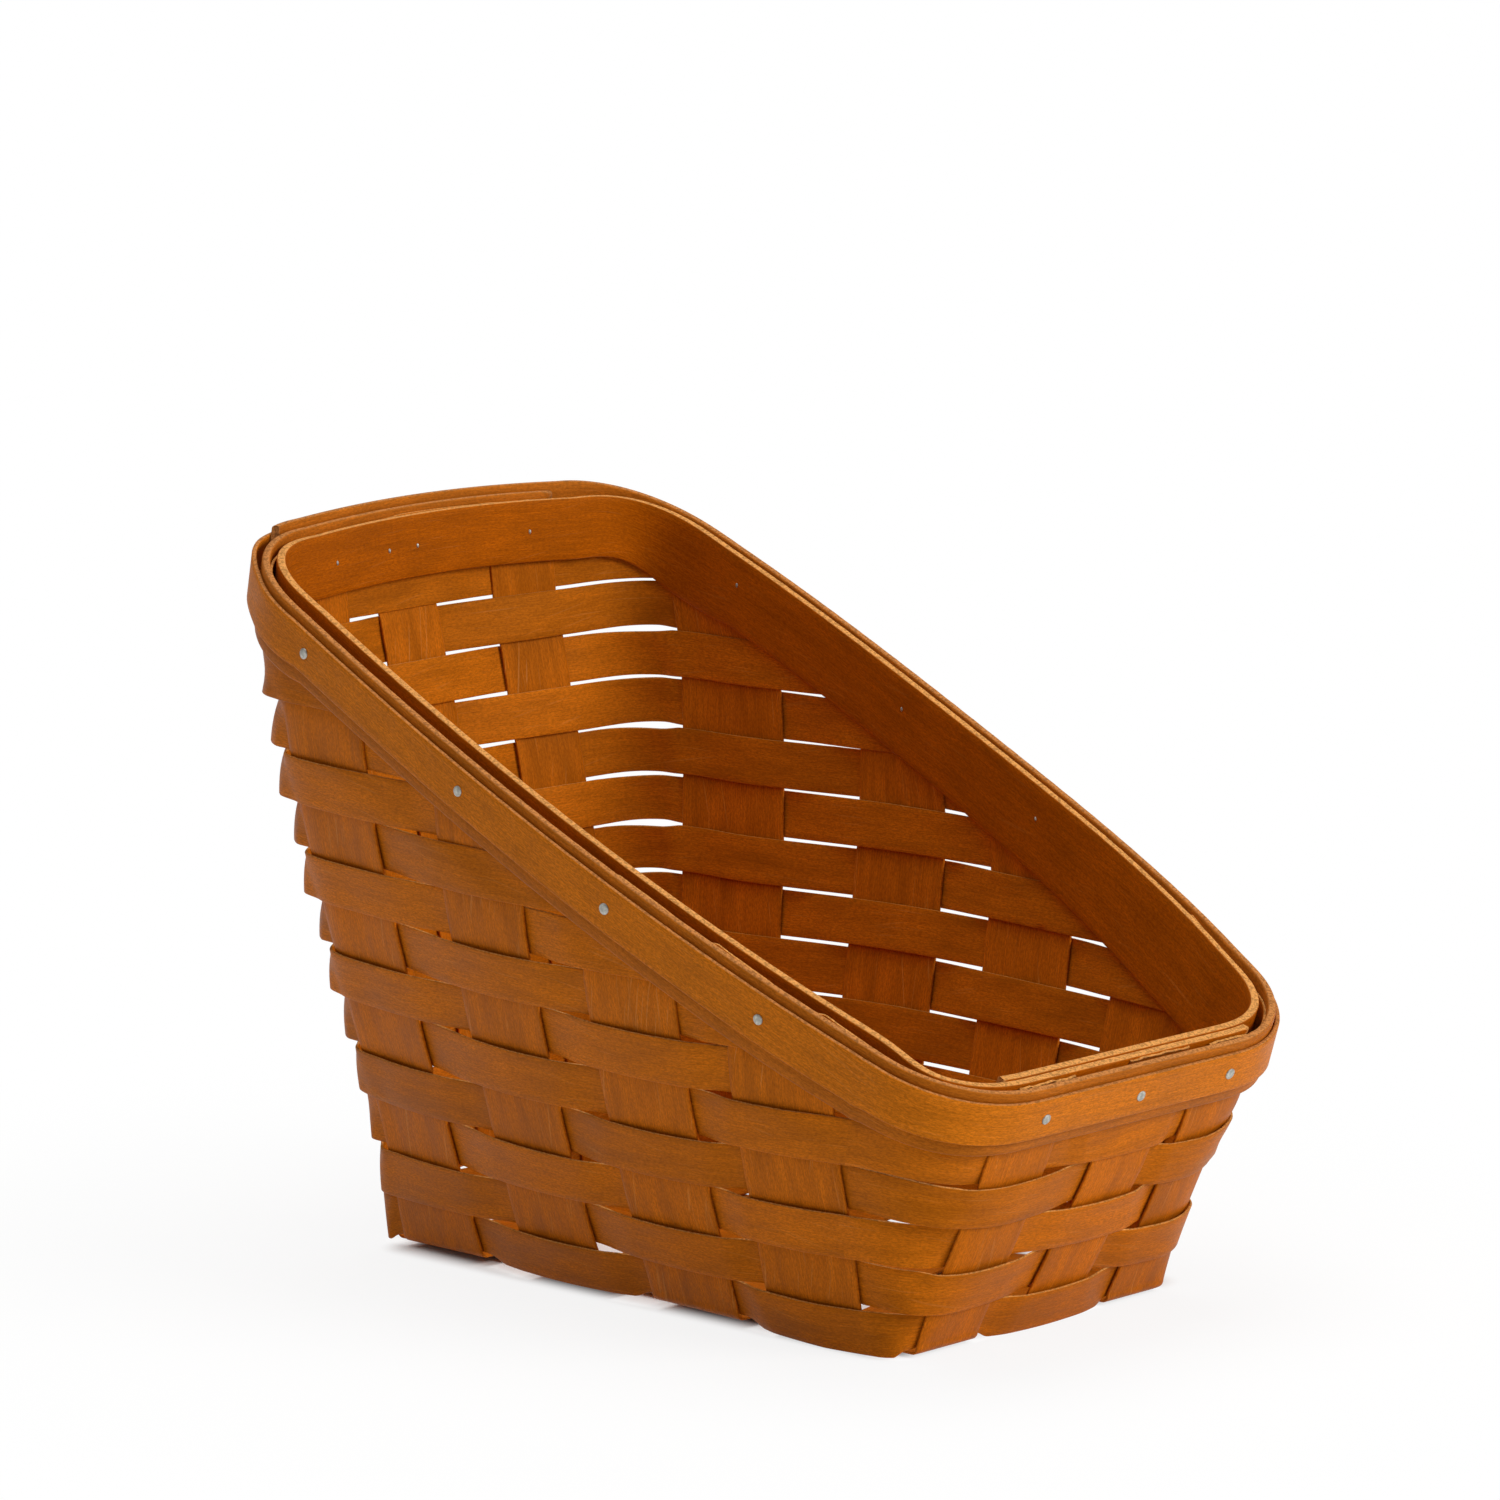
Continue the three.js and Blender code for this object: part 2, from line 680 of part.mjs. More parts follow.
// Height lost when going down a wall by a slope length square to the rim
function bandDrop(point, width) {
  const share = point.ny * point.ny;
  const endFlare = point.ny > 0 ? backFlare : frontFlare;
  const sideFlare = (sideReach(point.z) - sideReach(point.z - width)) / width;
  const side = (width * Math.hypot(1, rimSlope)) / Math.hypot(1, sideFlare);
  const end = width / Math.hypot(1, endFlare);
  return lerp(side, end, share);
}

// Point of the rim's face at a place, a slope length below its top edge
function rimFace(p, length) {
  const high = rimPoint(p, rimMeeting(p), splintPower);
  const low = rimPoint(p, high.z - bandDrop(high, innerBandWidth), splintPower);
  const share = length / innerBandWidth;
  const mixed = ["x", "y", "z", "nx", "ny"].map((key) => [key, lerp(high[key], low[key], share)]);
  return Object.fromEntries(mixed);
}

// Slope length from the rim's edge down to a layer that lies off the wall's middle: layers
// further out stand higher at the back and lower at the front, since the rim is slanted
const layerDrop = (p, drop, offset) => drop - rimSlope * rimFace(p, drop).ny * offset;

// One band of the rim: a strip round the wall's top whose two ends lie over one another
function bandGeometry(places, band) {
  const stations = places.map((p) => {
    const middle = band.offset + (p.shift ?? 0);
    const drop = layerDrop(p, band.drop - (p.rise ?? 0), middle);
    const high = rimFace(p, drop);
    const low = rimFace(p, drop + band.width);
    const half = band.thickness / 2;
    return [
      offsetPoint(low, middle - half),
      offsetPoint(high, middle - half),
      offsetPoint(high, middle + half),
      offsetPoint(low, middle + half),
    ];
  });
  return stripGeometry(stations, false);
}

const innerBand = {
  drop: 0,
  width: innerBandWidth,
  thickness: innerBandThickness,
  offset: -(heldReach + bandGap + innerBandThickness / 2),
};
const outerBand = {
  drop: 0,
  width: outerBandWidth,
  thickness: outerBandThickness,
  offset: heldReach + bandGap + outerBandThickness / 2,
};
const trim = {
  drop: trimDrop,
  width: trimWidth,
  thickness: trimThickness,
  offset: outerBand.offset + outerBandThickness / 2 + layerGap + trimThickness / 2,
};

const innerShift = -(innerBandThickness + layerGap);
const outerShift = outerBandThickness + layerGap;

// How far the inner band stands off the weave, as a share of its slack
function slackShare(p) {
  const { rise, fall } = slackShares;
  if (p.wall === 0) return p.share === undefined ? 1 : 1 - smooth((p.share - fall[0]) / (fall[1] - fall[0]));
  if (p.wall !== 3 || p.share === undefined) return 0;
  return smooth((p.share - rise[0]) / (rise[1] - rise[0]));
}

// Share of the outer band's lap that the strip over a place has to clear
function lapShare(p) {
  if (p.wall === 1) return p.share === undefined ? 1 : smooth(1 - p.share);
  if (p.wall !== 0 || p.share === undefined) return 0;
  return smooth((p.share - trimClimbStart) / (outerLapShare - trimClimbStart));
}

const wallIndex = (cycle, wall, place) =>
  cycle.findIndex((p) => p.wall === wall && p.place === place);
const runOf = (cycle, start, end) => [...cycle.slice(start), ...cycle.slice(0, end + 1)];

// The inner band's first end lies behind its second one along the front
function innerBandPlaces() {
  const cycle = rimCycle({ 3: innerLap });
  const start = wallIndex(cycle, 3, innerLap[1]);
  const end = wallIndex(cycle, 3, innerLap[0]);
  const places = runOf(cycle, start, end);
  const lapCount = end - start + 1;
  return places.map((p, i) => {
    const inLap = i >= places.length - lapCount;
    const inCorner = p.wall === 2 && p.share !== undefined;
    const lapped = inLap ? innerShift : inCorner ? innerShift * smooth(p.share) : 0;
    return { ...p, shift: lapped - innerSlack * slackShare(p) };
  });
}

// The outer band's first end lies over its second one along the back, and stands a little higher
function outerBandPlaces() {
  const cycle = rimCycle({ 1: [outerLapEnd] });
  const start = cycle.findIndex((p) => p.wall === 0 && p.share === outerLapShare);
  const end = wallIndex(cycle, 1, outerLapEnd);
  const places = runOf(cycle, start, end);
  return places.map((p, i) => {
    const raised = i < places.length / 2 ? (p.wall === 0 ? 1 : lapShare(p)) : 0;
    return { ...p, shift: outerShift * raised, rise: outerLapRise * raised };
  });
}

// The trim's ends meet over that lap
function trimPlaces() {
  const ends = [trimJoint, trimJoint + buttGap];
  const cycle = rimCycle({ 1: ends });
  const places = runOf(cycle, wallIndex(cycle, 1, ends[1]), wallIndex(cycle, 1, ends[0]));
  return places.map((p) => ({ ...p, shift: outerShift * lapShare(p) }));
}

// Seat of a tack: the point on the trim's face at its middle, and the way that face looks
function tackSeatAt(wall, place) {
  const p = { wall, place };
  const layer = trim.offset + outerShift * lapShare(p);
  const out = layer + trim.thickness / 2;
  const top = layerDrop(p, trim.drop, layer);
  const middle = top + trim.width / 2;
  const at = (along, length) =>
    settled(offsetPoint(rimFace({ wall, place: place + along }, length), out));
  const centre = at(0, middle);
  const alongWall = at(1, middle).sub(at(-1, middle));
  const upWall = at(0, top).sub(at(0, middle));
  const face = alongWall.cross(upWall).normalize();
  const outward = rimFace(p, middle);
  if (face.x * outward.nx + face.y * outward.ny < 0) face.negate();
  const hidden = wall === 3 && place > innerLap[0] && place < innerLap[1] ? -innerShift : 0;
  const inside = innerBand.offset - innerSlack * slackShare(p) - innerBand.thickness / 2;
  const depth = out - inside + hidden;
  const level = Math.hypot(face.x, face.y);
  return { centre, face, depth: depth / level };
}

const placed = (geometry, seat, lift) => {
  const turn = new THREE.Quaternion().setFromUnitVectors(new THREE.Vector3(0, 1, 0), seat.face);
  const at = seat.centre.clone().addScaledVector(seat.face, lift);
  return geometry.applyQuaternion(turn).translate(at.x, at.y, at.z);
};

function tackGeometry(seat) {
  const end = -(seat.depth + layerGap + tackPoint);
  const profile = [
    [0, end],
    [tackTipRadius, end + tackPoint / 4],
    [tackShankRadius, end + tackPoint],
    [tackShankRadius, 0],
    [tackHeadRadius, 0],
    [tackHeadRadius, tackRimThickness],
    [tackCrownRadius, tackHeadThickness],
    [0, tackHeadThickness],
  ].map(([x, y]) => new THREE.Vector2(x, y));
  return placed(new THREE.LatheGeometry(profile, tackSides), seat, layerGap);
}

function tackHole(seat) {
  const radius = tackShankRadius + tackHoleGap;
  const length = seat.depth + 2 * tackPoint + trimThickness;
  return placed(new THREE.CylinderGeometry(radius, radius, length, holeSides), seat, -seat.depth / 2);
}

const bare = (geometry) => {
  const kept = geometry.index ? geometry : mergeVertices(geometry);
  const copy = new THREE.BufferGeometry();
  copy.setAttribute("position", kept.getAttribute("position"));
  copy.setIndex(kept.index);
  return copy;
};

const tackSeats = [
  ...sideTacks.map((y, i) => ({ name: `tack_left_${i + 1}`, ...tackSeatAt(0, y) })),
  ...sideTacks.map((y, i) => ({ name: `tack_right_${i + 1}`, ...tackSeatAt(2, y) })),
  ...frontTacks.map((x, i) => ({ name: `tack_front_${i + 1}`, ...tackSeatAt(3, x) })),
  ...backTacks.map((x, i) => ({ name: `tack_back_${i + 1}`, ...tackSeatAt(1, x) })),
];
const holes = tackSeats
  .map((seat) => solidOf(facingOut(bare(tackHole(seat)))))
  .reduce((all, hole) => all.add(hole));

// Materials, one look for each kind of strip and for the tacks
const wood = (colour, roughness) => ({ color: colour, roughness, metalness: 0 });
const finishes = {
  weaver: wood(0xa8642a, 0.55),
  upright: wood(0xa35f26, 0.55),
  inner: wood(0x9d5a24, 0.5),
  outer: wood(0xa05c28, 0.5),
  trim: wood(0xb26d30, 0.5),
  tack: { color: 0x9a9c9c, roughness: 0.35, metalness: 0.9 },
};

const basket = new THREE.Group();

function addPiece(name, geometry, finish) {
  const mesh = new THREE.Mesh(geometry, new THREE.MeshStandardMaterial(finishes[finish]));
  mesh.name = name;
  basket.add(mesh);
}

const drilled = (geometry) => geometryOf(solidOf(facingOut(geometry)).subtract(holes));

crossSplints.forEach((_, i) => {
  addPiece(`crosswise_splint_${i + 1}`, drilled(crossSplintGeometry(i)), "upright");
});
longSplints.forEach((_, j) => {
  addPiece(`lengthwise_splint_${longNames[j]}`, drilled(longSplintGeometry(j)), "upright");
});
for (let row = 1; row <= rowCount; row++) {
  const name = `weaver_row_${String(row).padStart(2, "0")}`;
  addPiece(name, drilled(weaverGeometry(row)), "weaver");
}
addPiece("rim_inner_band", drilled(bandGeometry(innerBandPlaces(), innerBand)), "inner");
addPiece("rim_outer_band", drilled(bandGeometry(outerBandPlaces(), outerBand)), "outer");
addPiece("rim_trim_strip", drilled(bandGeometry(trimPlaces(), trim)), "trim");
tackSeats.forEach((seat) => addPiece(seat.name, facingOut(bare(tackGeometry(seat))), "tack"));

// The origin is the middle of the footprint, on the surface that the basket stands on
const bounds = new THREE.Box3().setFromObject(basket);
const middle = bounds.getCenter(new THREE.Vector3());
basket.position.set(-middle.x, -middle.y, -bounds.min.z);

const part = new THREE.Group();
part.add(basket);
export default part;
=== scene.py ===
"""A woven splint basket with a slanted rim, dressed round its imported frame.

Metres, +Z up, the low front faces -Y.
"""

from math import cos, pi, radians, sin
from types import SimpleNamespace

import bpy
import numpy as np
from bpy.props import FloatProperty, FloatVectorProperty, PointerProperty
from mathutils import Matrix, Vector


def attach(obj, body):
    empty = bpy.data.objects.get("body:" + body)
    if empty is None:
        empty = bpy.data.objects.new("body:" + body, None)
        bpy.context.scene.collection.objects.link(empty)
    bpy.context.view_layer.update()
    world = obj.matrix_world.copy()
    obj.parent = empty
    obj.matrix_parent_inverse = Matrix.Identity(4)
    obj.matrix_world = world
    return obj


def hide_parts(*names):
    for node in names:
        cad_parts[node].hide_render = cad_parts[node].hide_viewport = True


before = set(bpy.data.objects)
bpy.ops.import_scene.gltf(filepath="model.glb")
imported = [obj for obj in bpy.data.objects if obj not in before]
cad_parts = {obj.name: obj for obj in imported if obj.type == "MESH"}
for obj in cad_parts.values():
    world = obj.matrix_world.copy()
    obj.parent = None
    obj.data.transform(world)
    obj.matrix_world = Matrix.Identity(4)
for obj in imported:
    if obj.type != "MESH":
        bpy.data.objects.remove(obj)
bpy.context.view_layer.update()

bl_info = {
    "name": "Splint Basket",
    "version": (1, 0, 0),
    "blender": (4, 5, 0),
    "location": "3D View > Sidebar > Basket",
    "description": "Weaves a splint basket with a slanted rim over its frame",
    "category": "Object",
}

# Where the wall's law has its origin in the part's frame
ORIGIN = np.array([-0.000126, 0.0162095, 0.0])

# Walls: reach from the base's centre lines, and slope outwards per unit of height
BASE_HALF_WIDTH = 0.0655
BASE_FRONT_REACH = 0.134
BASE_BACK_REACH = 0.104
FRONT_FLARE = 0.496
BACK_FLARE = 0.14
SIDE_FLARE_LOW = 0.36
SIDE_FLARE_HIGH = 0.06
SIDE_FLARE_HEIGHT = 0.2
BOW_LOW = 0.0045
BOW_HIGH = 0.015
BOW_HEIGHT = 0.04
BACK_BOW = 0.004
FRONT_CORNER_LOW = 0.005
BACK_CORNER_LOW = 0.008
FRONT_CORNER_HIGH = 0.036
BACK_CORNER_HIGH = 0.037
FRONT_CORNER_HEIGHT = 0.045
FRONT_CORNER_GROWTH = 0.6
BACK_CORNER_HEIGHT = 0.105

# The bands pull the wall inwards below the rim, whose top edge lies in a slanted plane
RIM_MIDDLE = 0.16594
RIM_SLOPE = 0.44013
RIM_PINCH = 0.0046
RAIL_MIDDLE = -0.018
RAIL_RUN = 0.122
RAIL_IN = 0.0018
RAIL_FRONT = 0.0042
RAIL_BACK = 0.0031
PINCH_DEPTH = 0.045
BACK_PINCH = 0.0046
BACK_PINCH_DEPTH = 0.030
BACK_PINCH_POWER = 1.5
# How far the weave's cut tops lie under the rim, at places round it
RECESS_PLACES = (0, 0.5, 1, 2, 2.5, 3, 4, 5, 5.7, 6, 7, 7.6, 8)
RECESSES = (0.0026, 0.0026, 0.0035, 0.003, 0.0012, 0.0018, 0.0035, 0.0045, 0.0024, 0.0005, 0.0005, 0.0014,
            0.0026)
LEFT_MIDDLE = 0.5
RIGHT_MIDDLE = 4.5

# How the weave has settled
ROW_RISE = 0.027
RISE_HEIGHT = 0.08
BASE_SKEW = 0.03
SKEW_HEIGHT = 0.25
FOOT_ARCH = 0.0022
ARCH_REACH = 0.105
ARCH_HEIGHT = 0.05
RIGHT_LIFT = 0.0022
RIGHT_LIFT_START = -0.02
RIGHT_LIFT_RUN = 0.42

# Corner powers: 2 is a quarter circle and more is squarer
WEAVER_LOW_POWERS = (3.7, 2.9)
WEAVER_HIGH_POWER = 2.1
SPLINT_POWER = 2.6
RIM_TOP_POWER = 2.0
RIM_DEEP_POWER = 2.9
FREE_START = 0.029
FREE_END = 0.047
FREE_TURN = 0.007

# Rows and uprights
ROWS = 14
CLOSED_ROWS = 6
ROW_PITCH = 0.0164
BACK_ROW_PITCH = 0.0162
FRONT_ROW_PITCH = 0.0159
SHORTEST_END = 0.004
FOOT_GAP = 0.0007
LATTICE_GAP = 0.00025
BEND_RADIUS = 0.0024
CROSS_HALF_WIDTHS = (0.0205, 0.019, 0.019, 0.019)
LONG_HALF_WIDTH = 0.01325
# Each upright's centre at the base, and how far it leans per unit of height on its first and its second wall
CROSS = ((0.0725, 0.075, 0.122), (0.010, 0.008, 0.048), (-0.049, -0.022, 0.043), (-0.101, -0.074, -0.042))
LONG = ((-0.0425, 0.04, -0.062), (0.0, 0.15, -0.072), (0.043, 0.065, -0.028))
LONG_NAMES = ("left", "middle", "right")
# Level directions out of the left, back, right and front walls, and what keeps a point's level part
OUTWARD = np.array(((-1, 0, 0), (0, 1, 0), (1, 0, 0), (0, -1, 0)))
LEVEL_PART = np.array((1, 1, 0))
# How a row waves, and how it ends
WAVE_SQUARENESS = 2
BULGE_SPREAD = (0.7, 1.25)
WEAVER_END_ROOM = 0.002
TOP_WAVES = 9
CUT_WAVES = (1.1, 2.3, 4.9)

# The rim's layers: laps, joint and torn ends. A start or an end is a place round the rim and the run over
# which a share rises or falls there.
INNER_LAP = (-0.053, 0.056)
INNER_LAP_START = 12.6
INNER_LAP_TURN = 0.8
INNER_POWER = 2.4
OUTER_LAP_END = 0.052
OUTER_LAP_SHARE = 0.75
OUTER_LAP_RISE = 0.0012
TRIM_CLIMB = 0.4
TRIM_JOINT = 0.018
LAYER_GAP = 0.00035
TRIM_DROP = 0.0027
RIM_SETTLING = 30
RIM_END_ROOM = 0.03
INNER_TORN = (0.012, 0.003)
OUTER_TORN = (0.02, 0.004)
OUTER_SLANT = 0.1
TRIM_TORN = (0.001, 0.001)
NARROW_START = (1.1, 0.9)
NARROW_END = (3.0, 0.75)
LAP_FADE = 3.0

# Within the bands the weave is squeezed flat. The inner band stands off it along the left side.
HELD_DEPTH = 0.028
HELD_FADE = 0.014
SLACK = 0.0032
SLACK_START = (-0.45, 0.5)
SLACK_END = (1.2, 0.9)

# Places of the tacks along the side, front and back walls
SIDES = ("left", "back", "right", "front")
TACKS = {"left": (-0.1105, -0.051, 0.0125, 0.088), "right": (-0.108, -0.051, 0.0125, 0.088),
         "front": (-0.043, 0.0032, 0.0478), "back": (-0.049, -0.024, -0.011, 0.0385)}

# Tack heads: depth sunk in the trim, and shares of the radius or the height at the turns of the section
HEAD_SINK = 0.001
HEAD_HEART = 0.0002
HEAD_FOOT = 0.93
HEAD_LOW = 0.1
HEAD_EDGE = 0.55
HEAD_TOP = 0.12
CROWN_ANGLES = (0.35, 1.35)
HEAD_SPREAD = (0.94, 1.05)
HEAD_TILT = 0.05

# Tack points, clinched flat on the inner band
POINT_SINK = 0.0004
POINT_EDGE = 0.0001
POINT_RISE = 0.0003
POINT_TOP = 0.0004
POINT_HEART = 0.0001
POINT_CROWN = 0.7
POINT_STRETCH = (1, 1.6, 1)

# Sides of a head and of a point, and the patch of surface that a tack's seat is read from
HEAD_SIDES = 28
POINT_SIDES = 12
PATCH_REACH = 0.02
PATCH_COLUMNS = 5
PATCH_MIDDLE = (2, 1)
HEAD_LEVELS = np.array((-0.3, 0, 0.3))
POINT_LEVELS = np.array((-0.1, 0, 0.1))

# Edges of a strip: relief left at the very edge, lower edge's paleness, and scale of the grain on a cut end
LEAST_RELIEF = 0.04
LOWER_EDGE_PALENESS = 0.6
END_GRAIN_SCALE = 0.1
EDGE_INSETS = np.array((0, 0.3))

# Seeds of the uneven lines, torn ends and tones, so that every run gives the same basket
SEEDS = SimpleNamespace(upper_edge=50, cut_top=70, tone=90, cross_tops=200, long_tops=300, cross=30, long=40,
                        inner=61, outer=62, trim=63, torn_start=501, torn_end=502, tacks=7)

# Sampling of a strip, and of the wall that it follows
SIDE_STEPS = 190
END_STEPS = 96
CORNER_STEPS = 36
ACROSS = SimpleNamespace(weaver=9, cross=21, long=17, inner=11, outer=10, trim=9)
RELAX_PASSES = 14
LIFT_PASSES = 4
LEVEL_STEPS = 600
BASE_STEPS = 90
BEND_STEPS = 6
FIELD_STEP = 0.004
FIELD_TOP = 0.26


def mix(a, b, t):
    return a + (b - a) * t


def clip01(t):
    return np.clip(t, 0.0, 1.0)


def smooth(t):
    return clip01(t) ** 2 * (3 - 2 * clip01(t))


def unit(v):
    return v / np.maximum(np.linalg.norm(v, axis=-1, keepdims=True), 1e-12)


def side_reach(z):
    """How far out the long sides lie: their slope changes evenly with height."""
    change = (SIDE_FLARE_HIGH - SIDE_FLARE_LOW) / SIDE_FLARE_HEIGHT
    return BASE_HALF_WIDTH + z * (SIDE_FLARE_LOW + change * z / 2)


def front_reach(z):
    return BASE_FRONT_REACH + FRONT_FLARE * z


def back_reach(z):
    return BASE_BACK_REACH + BACK_FLARE * z


def rim_height(y):
    return RIM_MIDDLE + RIM_SLOPE * y


def recess(u):
    return np.interp(u % 8, RECESS_PLACES, RECESSES)


def pinch(y, z):
    return RIM_PINCH * clip01(1 - (rim_height(y) - z) / PINCH_DEPTH)


def rail_turn(y, z):
    """How far the rim's right side lies out from the left side's mirror: in at the middle, out towards both
    ends, and fading out downwards."""
    most = np.where(y < RAIL_MIDDLE, RAIL_FRONT, RAIL_BACK)
    moved = most * smooth(np.abs(y - RAIL_MIDDLE) / RAIL_RUN) - RAIL_IN
    return moved * clip01(1 - (rim_height(y) - z) / PINCH_DEPTH)


def plan(z):
    """The wall's outline at heights z: how far out its four walls lie, and where its corners start. The sides
    bow in towards their ends by bow * ((y - middle) / half)^2, and the corners widen with height."""
    front = front_reach(z) - pinch(-front_reach(z), z)
    back_depth = rim_height(back_reach(z)) - z
    back = back_reach(z) - BACK_PINCH * clip01(1 - back_depth / BACK_PINCH_DEPTH) ** BACK_PINCH_POWER
    middle, half = (back - front) / 2, (back + front) / 2
    bow = mix(BOW_LOW, BOW_HIGH, clip01(z / BOW_HEIGHT))
    front_grown = clip01(z / FRONT_CORNER_HEIGHT) ** FRONT_CORNER_GROWTH
    front_corner = mix(FRONT_CORNER_LOW, FRONT_CORNER_HIGH, front_grown)
    back_corner = mix(BACK_CORNER_LOW, BACK_CORNER_HIGH, clip01(z / BACK_CORNER_HEIGHT))

    def left(y):
        return side_reach(z) - pinch(y, z) - bow * ((y - middle) / half) ** 2

    def right(y):
        return left(y) + rail_turn(y, z)

    front_start, back_start = front_corner - front, back - back_corner
    return SimpleNamespace(
        front=front, back=back, left=left, right=right, front_corner=front_corner, back_corner=back_corner,
        front_start=front_start, back_start=back_start,
        front_left=left(front_start) - front_corner, front_right=right(front_start) - front_corner,
        back_left=left(back_start) - back_corner, back_right=right(back_start) - back_corner)


def around(u, z, power):
    """Points of the wall at places u round the basket, from 0 to 8: left wall, corner, back wall, corner,
    right wall, corner, front wall, corner. A corner is x = r cos(a)^(2/p), y = r sin(a)^(2/p)."""
    u, z, power = np.broadcast_arrays(np.asarray(u) % 8, z, power)
    law = plan(z)
    piece = np.floor(u).astype(int)
    t = u - piece
    wall, turning = piece // 2, piece % 2 == 1
    y_side = mix(law.front_start, law.back_start, np.where(wall == 0, t, 1 - t))
    x_wall = np.choose(wall, [-law.left(y_side), mix(-law.back_left, law.back_right, t),
                              law.right(y_side), mix(law.front_right, -law.front_left, t)])
    belly = BACK_BOW * clip01(z / BACK_CORNER_HEIGHT) * (1 - (2 * t - 1) ** 2)
    y_wall = np.choose(wall, [y_side, law.back + belly, y_side, -law.front])
    at_back = wall < 2
    angle = np.where(wall % 2 == 0, t, 1 - t) * pi / 2
    radius = np.where(at_back, law.back_corner, law.front_corner)
    flat = np.choose(wall, [law.back_left, law.back_right, law.front_right, law.front_left])
    x_turn = flat + radius * np.abs(np.cos(angle)) ** (2 / power)
    y_turn = np.where(at_back, law.back_start, -law.front_start) + radius * np.sin(angle) ** (2 / power)
    x_turn = x_turn * np.where((wall == 0) | (wall == 3), -1, 1)
    y_turn = y_turn * np.where(at_back, 1, -1)
    return np.stack([np.where(turning, x_turn, x_wall), np.where(turning, y_turn, y_wall), z], -1)


def place_on(wall, place, z, power):
    """The place u of a point given along its wall, y on the sides and x at the ends, also past a corner's
    start. A point's place in a corner is asin((past / corner)^(p/2)) as a share of a quarter turn."""
    law = plan(z)

    def turned(past, corner):
        return np.arcsin(clip01(past / corner) ** (power / 2)) / (pi / 2)

    if wall % 2 == 0:
        run = (place - law.front_start) / (law.back_start - law.front_start)
        v = clip01(run) + turned(place - law.back_start, law.back_corner)
        v = v - turned(law.front_start - place, law.front_corner)
        return v if wall == 0 else 5 - v
    left, right, corner = ((law.back_left, law.back_right, law.back_corner) if wall == 1 else
                           (law.front_left, law.front_right, law.front_corner))
    v = clip01((place + left) / (left + right))
    v = v + turned(place - right, corner) - turned(-place - left, corner)
    return 2 + v if wall == 1 else 7 - v


def cycle():
    """Places once round the basket, closer together in the corners."""
    counts = [SIDE_STEPS, CORNER_STEPS, END_STEPS, CORNER_STEPS] * 2
    return np.concatenate([k + np.arange(n) / n for k, n in enumerate(counts)])


CYCLE = cycle()


def relaxation():
    """How far the wall moves when its creases are eased: the eased outline less the sharp one, across the
    wall only, on a grid of height and place. Each pass averages a point with its neighbours by 1, 2, 1."""
    heights = np.arange(0, FIELD_TOP, FIELD_STEP)[:, None]
    sharp = around(CYCLE[None, :], heights, SPLINT_POWER)
    eased = sharp.copy()
    for _ in range(RELAX_PASSES):
        eased = (np.roll(eased, 1, 1) + 2 * eased + np.roll(eased, -1, 1)) / 4
    for _ in range(LIFT_PASSES):
        wide = np.pad(eased, ((1, 1), (0, 0), (0, 0)), mode="reflect", reflect_type="odd")
        eased = (wide[:-2] + 2 * eased + wide[2:]) / 4
    along = unit(np.roll(eased, -1, 1) - np.roll(eased, 1, 1))
    moved = eased - sharp
    return moved - along * (moved * along).sum(-1, keepdims=True)


RELAXED = relaxation()


def wall(u, z, power):
    """The eased wall: the sharp outline plus the relaxation, read between its grid's points."""
    u, z = np.broadcast_arrays(u, z)
    column = np.interp(u % 8, np.append(CYCLE, 8.0), np.arange(len(CYCLE) + 1))
    line = np.clip(z / FIELD_STEP, 0, len(RELAXED) - 1.001)
    i, j = np.floor(line).astype(int), np.floor(column).astype(int)
    fi, fj = (line - i)[..., None], (column - j)[..., None]
    j, k = j % len(CYCLE), (j + 1) % len(CYCLE)
    low = mix(RELAXED[i, j], RELAXED[i, k], fj)
    high = mix(RELAXED[i + 1, j], RELAXED[i + 1, k], fj)
    return around(u, z, power) + mix(low, high, fi)


def free_share(depth):
    return smooth((depth - FREE_START) / (FREE_END - FREE_START))


def held_power(depth, free, band_width):
    """Corner power at a depth under the rim: the bands hold the wall round, and well below it is free."""
    return mix(mix(RIM_TOP_POWER, RIM_DEEP_POWER, clip01(depth / band_width)), free, free_share(depth))


def loose_share(sheet):
    """How free the weave is from the bands' squeeze at points of the wall."""
    depth = rim_height(sheet[..., 1]) - sheet[..., 2]
    return smooth((depth - HELD_DEPTH) / HELD_FADE)


def rim_wall(u, z, free):
    depth = rim_height(around(u, z, free)[..., 1]) - z
    return wall(u, z, held_power(depth, free, sizes().inner_width))


def settle(points):
    """Where points of the even, upright shape end up: skewed at the base, with rows that climb to the back
    and side walls whose foot arches off the floor by 1 - (y / reach)^2."""
    x, y, z = points[..., 0], points[..., 1], points[..., 2]
    arch = FOOT_ARCH * clip01(1 - (y / ARCH_REACH) ** 2) * smooth(np.abs(x) / BASE_HALF_WIDTH * 2 - 1)
    moved = np.stack([x + BASE_SKEW * y * (1 - clip01(z / SKEW_HEIGHT)), y,
                      z + ROW_RISE * (y + BASE_FRONT_REACH) * clip01(z / RISE_HEIGHT)
                      + arch * (1 - smooth(z / ARCH_HEIGHT))], -1)
    return moved + ORIGIN


def levels(reach, pitch):
    """Heights of the rows' boundaries: equal lengths up a wall's slope."""
    heights = np.linspace(0, FIELD_TOP, LEVEL_STEPS)
    climbed = np.append(0, np.cumsum(np.hypot(np.diff(heights), np.diff(reach(heights)))))
    return np.interp(pitch * np.arange(ROWS + 1), climbed, heights)


SIDE_LEVELS = levels(side_reach, ROW_PITCH)
BACK_LEVELS = levels(back_reach, BACK_ROW_PITCH)
FRONT_LEVELS = levels(front_reach, FRONT_ROW_PITCH)


